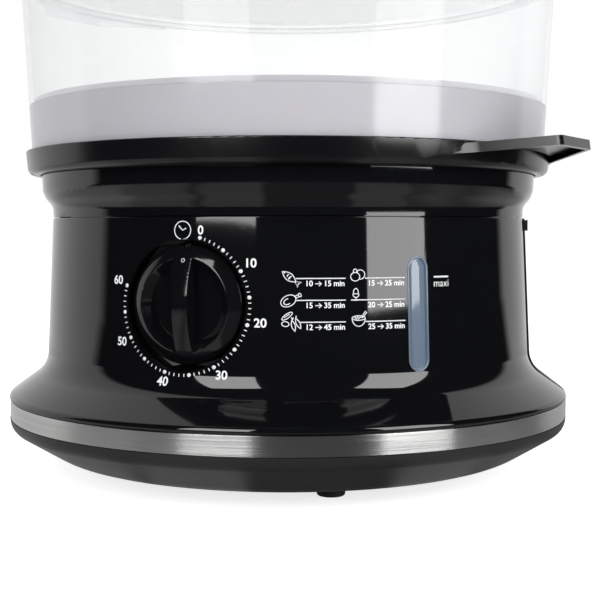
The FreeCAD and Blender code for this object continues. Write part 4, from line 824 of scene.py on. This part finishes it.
def leaf(x, y, long, wide, lean, count=12):
    """Pointed outline along the lean."""
    half = [(long * (k / count - 0.5), wide / 2 * math.sin(math.pi * k / count)) for k in range(count + 1)]
    return leaning(half + [(px, -py) for px, py in reversed(half[1:-1])], x, y, lean)


def strokes(name, lines):
    """Printed lines as one mesh: each is (width, points, closed) in millimetres."""
    bpy.ops.curve.primitive_bezier_circle_add()
    curve = named(name).data
    curve.splines.clear()
    curve.dimensions = "3D"
    curve.bevel_depth, curve.bevel_resolution, curve.use_fill_caps = MM / 2, 0, True
    for width, points, closed in lines:
        spline = curve.splines.new("POLY")
        spline.points.add(len(points) - 1)
        spline.use_cyclic_u = closed
        for point, (x, y) in zip(spline.points, points):
            point.co = (x * MM, y * MM, 0, 1)
            point.radius = width
    only(bpy.context.object)
    bpy.ops.object.convert(target="MESH")
    return named(name)


def lettering(name, words, weight=0.06):
    """Words as one mesh: each is (text, x, y, height)."""
    made = []
    for text, x, y, high in words:
        bpy.ops.object.text_add()
        piece = named(name)
        piece.data.body = text
        piece.data.size = high * MM / CAPITAL
        piece.data.offset = weight * MM
        piece.data.align_x, piece.data.align_y = "CENTER", "CENTER"
        only(piece)
        bpy.ops.object.convert(target="MESH")
        made.append(settle(bpy.context.object, Matrix.Translation((x * MM, y * MM, 0))))
    return merge(made)


def lay(piece, carrier, angle, level, lift):
    """Move a flat print onto the surface that carries it, about a point of the wall."""
    for vertex in piece.data.vertices:
        x, y, z = vertex.co
        a = math.radians(angle) + math.asin(x / (MEAN_RADIUS * MM))
        outward = Vector((math.sin(a), -math.cos(a), 0))
        start = outward * OUTSIDE + Vector((0, 0, level * MM + y))
        hit, place, normal, _ = carrier.ray_cast(start, -outward)
        if not hit:
            raise RuntimeError(f"{piece.name} runs off {carrier.name} at {x:.4f}, {y:.4f}")
        vertex.co = place + normal * (lift + z * INK_BODY)


def on_dial(radius, degrees):
    """A point round the dial, clockwise from the top."""
    a = math.radians(degrees)
    return radius * math.sin(a), radius * math.cos(a)


SCALE_START, MINUTE = 15.3, 4.5  # degrees from the top to zero, and degrees a minute
FIGURES = {
    0: (7.9, 30.9), 10: (29.0, 17.5), 20: (33.0, -6.9), 30: (17.5, -28.4), 40: (-8.1, -31.8),
    50: (-29.9, -16.3), 60: (-32.8, 9.8),
}


def dial_scale(sizes):
    """Dots and ticks of the minutes, figures, and a clock face."""
    middle, half, line = sizes.scale_radius / MM, sizes.tick / MM / 2, sizes.line / MM
    lines = []
    for minute in range(61):
        at = SCALE_START + MINUTE * minute
        if minute % 5:
            lines.append((line, [on_dial(middle - half, at), on_dial(middle + half, at)], False))
        else:
            size = sizes.dot / MM / 2
            lines.append((size, oval(*on_dial(middle, at), size, size, count=12), True))
    lines.append((line, oval(-0.3, 31.0, 7.5, 7.5, count=36), True))
    lines.append((1.3 * line, [(-2.1, 32.9), (-0.2, 31.0), (1.3, 31.9)], False))
    words = [(str(minute), x, y, sizes.figure / MM) for minute, (x, y) in FIGURES.items()]
    piece = merge([strokes("dial_scale", lines), lettering("dial_figures", words, weight=0.11)])
    lay(piece, bpy.data.objects["front_housing_moulding"], 0, DIAL_LEVEL, sizes.ink_height)
    fit(piece, "base", finish("White print"), "housing_black")


# Each picture is a list of (points, closed) in millimetres, about its own middle.


def fish():
    body = leaf(-0.7, 0.5, 7.0, 3.0, -38)
    tail = leaning([(0, 0), (2.2, 1.3), (1.6, 0), (2.2, -1.3)], 1.7, -1.4, -38)
    eye = oval(-2.6, 2.2, 0.35, 0.35, count=8)
    scales = [(leaning(arc(0, 0, 0.5, 0.6, 100, 260, 6), x, y, -38), False)
              for x, y in ((-0.9, 0.9), (0.1, 0.1), (-0.3, -0.2))]
    return [(body, True), (tail, True), (eye, True)] + scales


def drumstick():
    shine = leaning(arc(0, 0, 1.6, 1.1, 60, 290), -1.3, -0.6, 28)
    return [(oval(-1.0, -0.3, 6.4, 4.4, 28), True), (shine, False), ([(1.9, 0.7), (3.4, 1.5)], False),
            ([(1.4, 1.5), (3.0, 2.3)], False), (oval(3.6, 2.1, 1.0, 1.5, 28), True)]


def vegetables():
    tops = [([(0.6, 0.7), (0.2, 1.9)], False), ([(0.6, 0.7), (1.0, 1.8)], False),
            ([(2.0, 1.3), (2.1, 2.5)], False)]
    return [(oval(-1.5, 2.3, 5.0, 1.7, 36), True), ([(-2.7, 1.7), (-0.5, 3.2)], False),
            (oval(-2.2, -0.9, 2.9, 2.0, -8), True), (leaf(1.0, -1.6, 4.8, 1.5, -74), True),
            (leaf(2.9, -0.7, 4.8, 1.5, -64), True)] + tops


def onions():
    return [(oval(-1.1, -0.5, 3.9, 3.5), True), (leaning(arc(0, 0, 0.9, 1.8, 0, 180), -1.1, 0.9, 0), False),
            (arc(1.1, 0.4, 1.9, 1.9, -100, 150), False)]


def egg_cup():
    return [(arc(0, 0.9, 1.0, 1.6, -20, 200), False), ([(-1.3, 0.3), (1.3, 0.3)], False),
            (arc(0, 0.3, 1.3, 1.5, 180, 360), False), ([(0, -1.2), (0, -2.2)], False),
            ([(-0.9, -2.3), (0.9, -2.3)], False)]


def rice_bowl():
    grains = ((-1.5, 0.9, 20), (-0.5, 1.1, -15), (0.6, 1.0, 40), (1.5, 0.9, 0), (0.0, 0.5, 60),
              (-1.0, 0.4, 0))
    return [(oval(0, 0.7, 5.6, 1.9), True), (arc(0, 0.6, 2.8, 3.3, 180, 360), False),
            ([(1.2, 1.2), (3.0, 3.5)], False), ([(1.9, 1.1), (3.6, 3.1)], False)] + [
                (oval(x, y, 0.5, 0.2, lean, 8), True) for x, y, lean in grains]


ROWS = (97.0, 88.1, 79.2)
TABLE_LEVEL, TABLE_ANGLE, TEXT_DROP = ROWS[1], 33.4, 2.15
TABLE = (  # picture and its place, start and end of the line, times
    ((fish, -22.2, 0.2, -20.2, 0.2, "10", "15"), (onions, 5.4, 1.1, 8.5, 26.3, "15", "25")),
    ((drumstick, -22.2, 0.1, -20.2, 0.2, "15", "35"), (egg_cup, 4.5, 2.2, 2.4, 26.3, "20", "25")),
    ((vegetables, -22.2, 0.2, -18.4, 0.2, "12", "45"), (rice_bowl, 5.6, 0.8, 8.5, 26.3, "25", "35")),
)
LEAST_AT, MOST_AT, UNIT_AT = -15.1, -7.5, -2.7  # middles of the words, from the end of their line
ARROW = ([(-12.6, 0), (-10.2, 0)], [(-11.1, 0.9), (-10.0, 0), (-11.1, -0.9)])
MARK_ANGLE, MARK_LEVEL = 55.5, 97.0


def cooking_times(sizes):
    """Table of foods with their cooking times, two columns of three."""
    line, high = sizes.line / MM, sizes.letter / MM
    lines, words = [], []
    for row, level in zip(TABLE, ROWS):
        y = level - TABLE_LEVEL
        text = y - TEXT_DROP
        for picture, x, rise, start, end, least, most in row:
            lines += [(0.9 * line, [(x + px, y + rise + py) for px, py in points], closed)
                      for points, closed in picture()]
            lines.append((1.1 * line, [(start + (end - start) * k / 12, y) for k in range(13)], False))
            words += [(least, end + LEAST_AT, text, high), (most, end + MOST_AT, text, high),
                      ("min", end + UNIT_AT, text, high)]
            lines += [(line, [(end + px, text + py) for px, py in points], False) for points in ARROW]
    piece = merge([strokes("cooking_times", lines), lettering("cooking_words", words)])
    lay(piece, bpy.data.objects["front_housing_moulding"], TABLE_ANGLE, TABLE_LEVEL, sizes.ink_height)
    fit(piece, "base", finish("White print"), "housing_black")


def level_mark(sizes):
    """Line and word of the highest water level."""
    line = strokes("level_mark", [(0.8, [(-4.0 + k, 0) for k in range(9)], False)])
    piece = merge([line, lettering("level_word", [("maxi", 0, -2.75, 3.1)], weight=-0.03)])
    lay(piece, bpy.data.objects["front_housing_moulding"], MARK_ANGLE, MARK_LEVEL, sizes.ink_height)
    fit(piece, "base", finish("White print"), "housing_black")


def printing(sizes):
    """Dial scale, cooking times and water mark on the housing."""
    dial_scale(sizes)
    cooking_times(sizes)
    level_mark(sizes)


# ---------------------------------------------------------------- add-on


class STEAMER_OT_studio(bpy.types.Operator):
    """Floor, room, soft boxes and camera"""
    bl_idname = "steamer.studio"
    bl_label = "Studio"

    def execute(self, context):
        stage(context.scene.steamer_studio)
        return {"FINISHED"}


class STEAMER_OT_housing(bpy.types.Operator):
    """Flared front housing with the dial's recess and the gauge slot"""
    bl_idname = "steamer.housing"
    bl_label = "Front housing"

    def execute(self, context):
        housing(context.scene.steamer_sizes)
        return {"FINISHED"}


class STEAMER_OT_base(bpy.types.Operator):
    """Bottom cover, rear panel, brushed band and rubber feet"""
    bl_idname = "steamer.base"
    bl_label = "Base"

    def execute(self, context):
        base()
        return {"FINISHED"}


class STEAMER_OT_tank(bpy.types.Operator):
    """Glossy collar and the water tank under it"""
    bl_idname = "steamer.tank"
    bl_label = "Tank and collar"

    def execute(self, context):
        tank(context.scene.steamer_sizes)
        return {"FINISHED"}


class STEAMER_OT_tray(bpy.types.Operator):
    """Drip tray with its rim, chimney and two finger lugs"""
    bl_idname = "steamer.tray"
    bl_label = "Drip tray"

    def execute(self, context):
        tray(context.scene.steamer_sizes)
        return {"FINISHED"}


class STEAMER_OT_bowl(bpy.types.Operator):
    """Pale foot with the steam grid, and the clear wall above it"""
    bl_idname = "steamer.bowl"
    bl_label = "Bowl"

    def execute(self, context):
        bowl()
        return {"FINISHED"}


class STEAMER_OT_lid(bpy.types.Operator):
    """Domed clear lid with its black grip"""
    bl_idname = "steamer.lid"
    bl_label = "Lid"

    def execute(self, context):
        lid()
        return {"FINISHED"}


class STEAMER_OT_knob(bpy.types.Operator):
    """Domed timer knob with a grip bar between two hollows"""
    bl_idname = "steamer.knob"
    bl_label = "Timer knob"

    def execute(self, context):
        knob(context.scene.steamer_sizes)
        return {"FINISHED"}


class STEAMER_OT_gauge(bpy.types.Operator):
    """Lens of the water gauge"""
    bl_idname = "steamer.gauge"
    bl_label = "Water gauge"

    def execute(self, context):
        gauge()
        return {"FINISHED"}


class STEAMER_OT_inner(bpy.types.Operator):
    """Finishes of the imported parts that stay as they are"""
    bl_idname = "steamer.inner"
    bl_label = "Inner parts"

    def execute(self, context):
        inner_parts()
        return {"FINISHED"}


class STEAMER_OT_print(bpy.types.Operator):
    """Dial scale, cooking times and water mark"""
    bl_idname = "steamer.print"
    bl_label = "Printing"

    def execute(self, context):
        printing(context.scene.steamer_sizes)
        return {"FINISHED"}


OPERATORS = (STEAMER_OT_studio, STEAMER_OT_housing, STEAMER_OT_base, STEAMER_OT_tank, STEAMER_OT_tray,
             STEAMER_OT_bowl, STEAMER_OT_lid, STEAMER_OT_knob, STEAMER_OT_gauge, STEAMER_OT_inner,
             STEAMER_OT_print)


class STEAMER_PT_panel(bpy.types.Panel):
    """The steamer's sizes, colours and pieces"""
    bl_idname = "STEAMER_PT_panel"
    bl_label = "Food Steamer"
    bl_space_type = "VIEW_3D"
    bl_region_type = "UI"
    bl_category = "Steamer"

    def draw(self, context):
        for group_name, _ in GROUPS:
            settings = getattr(context.scene, group_name)
            column = self.layout.box().column(align=True)
            for name in settings.bl_rna.properties.keys():
                if name not in ("rna_type", "name"):
                    column.prop(settings, name)
        column = self.layout.column(align=True)
        for operator in OPERATORS:
            column.operator(operator.bl_idname)


GROUPS = (("steamer_sizes", SteamerSizes), ("steamer_colours", SteamerColours),
          ("steamer_studio", SteamerStudio))


def register():
    for kind in [kind for _, kind in GROUPS] + list(OPERATORS) + [STEAMER_PT_panel]:
        bpy.utils.register_class(kind)
    for name, kind in GROUPS:
        setattr(bpy.types.Scene, name, PointerProperty(type=kind))


def unregister():
    for name, _ in GROUPS:
        delattr(bpy.types.Scene, name)
    for kind in [STEAMER_PT_panel] + list(reversed(OPERATORS)) + [kind for _, kind in GROUPS]:
        bpy.utils.unregister_class(kind)


def main():
    """Build the steamer and its studio."""
    register()
    bpy.ops.steamer.studio()
    bpy.ops.steamer.housing()
    bpy.ops.steamer.base()
    bpy.ops.steamer.tank()
    bpy.ops.steamer.tray()
    bpy.ops.steamer.bowl()
    bpy.ops.steamer.lid()
    bpy.ops.steamer.knob()
    bpy.ops.steamer.gauge()
    bpy.ops.steamer.inner()
    bpy.ops.steamer.print()


if __name__ == "__main__":
    main()
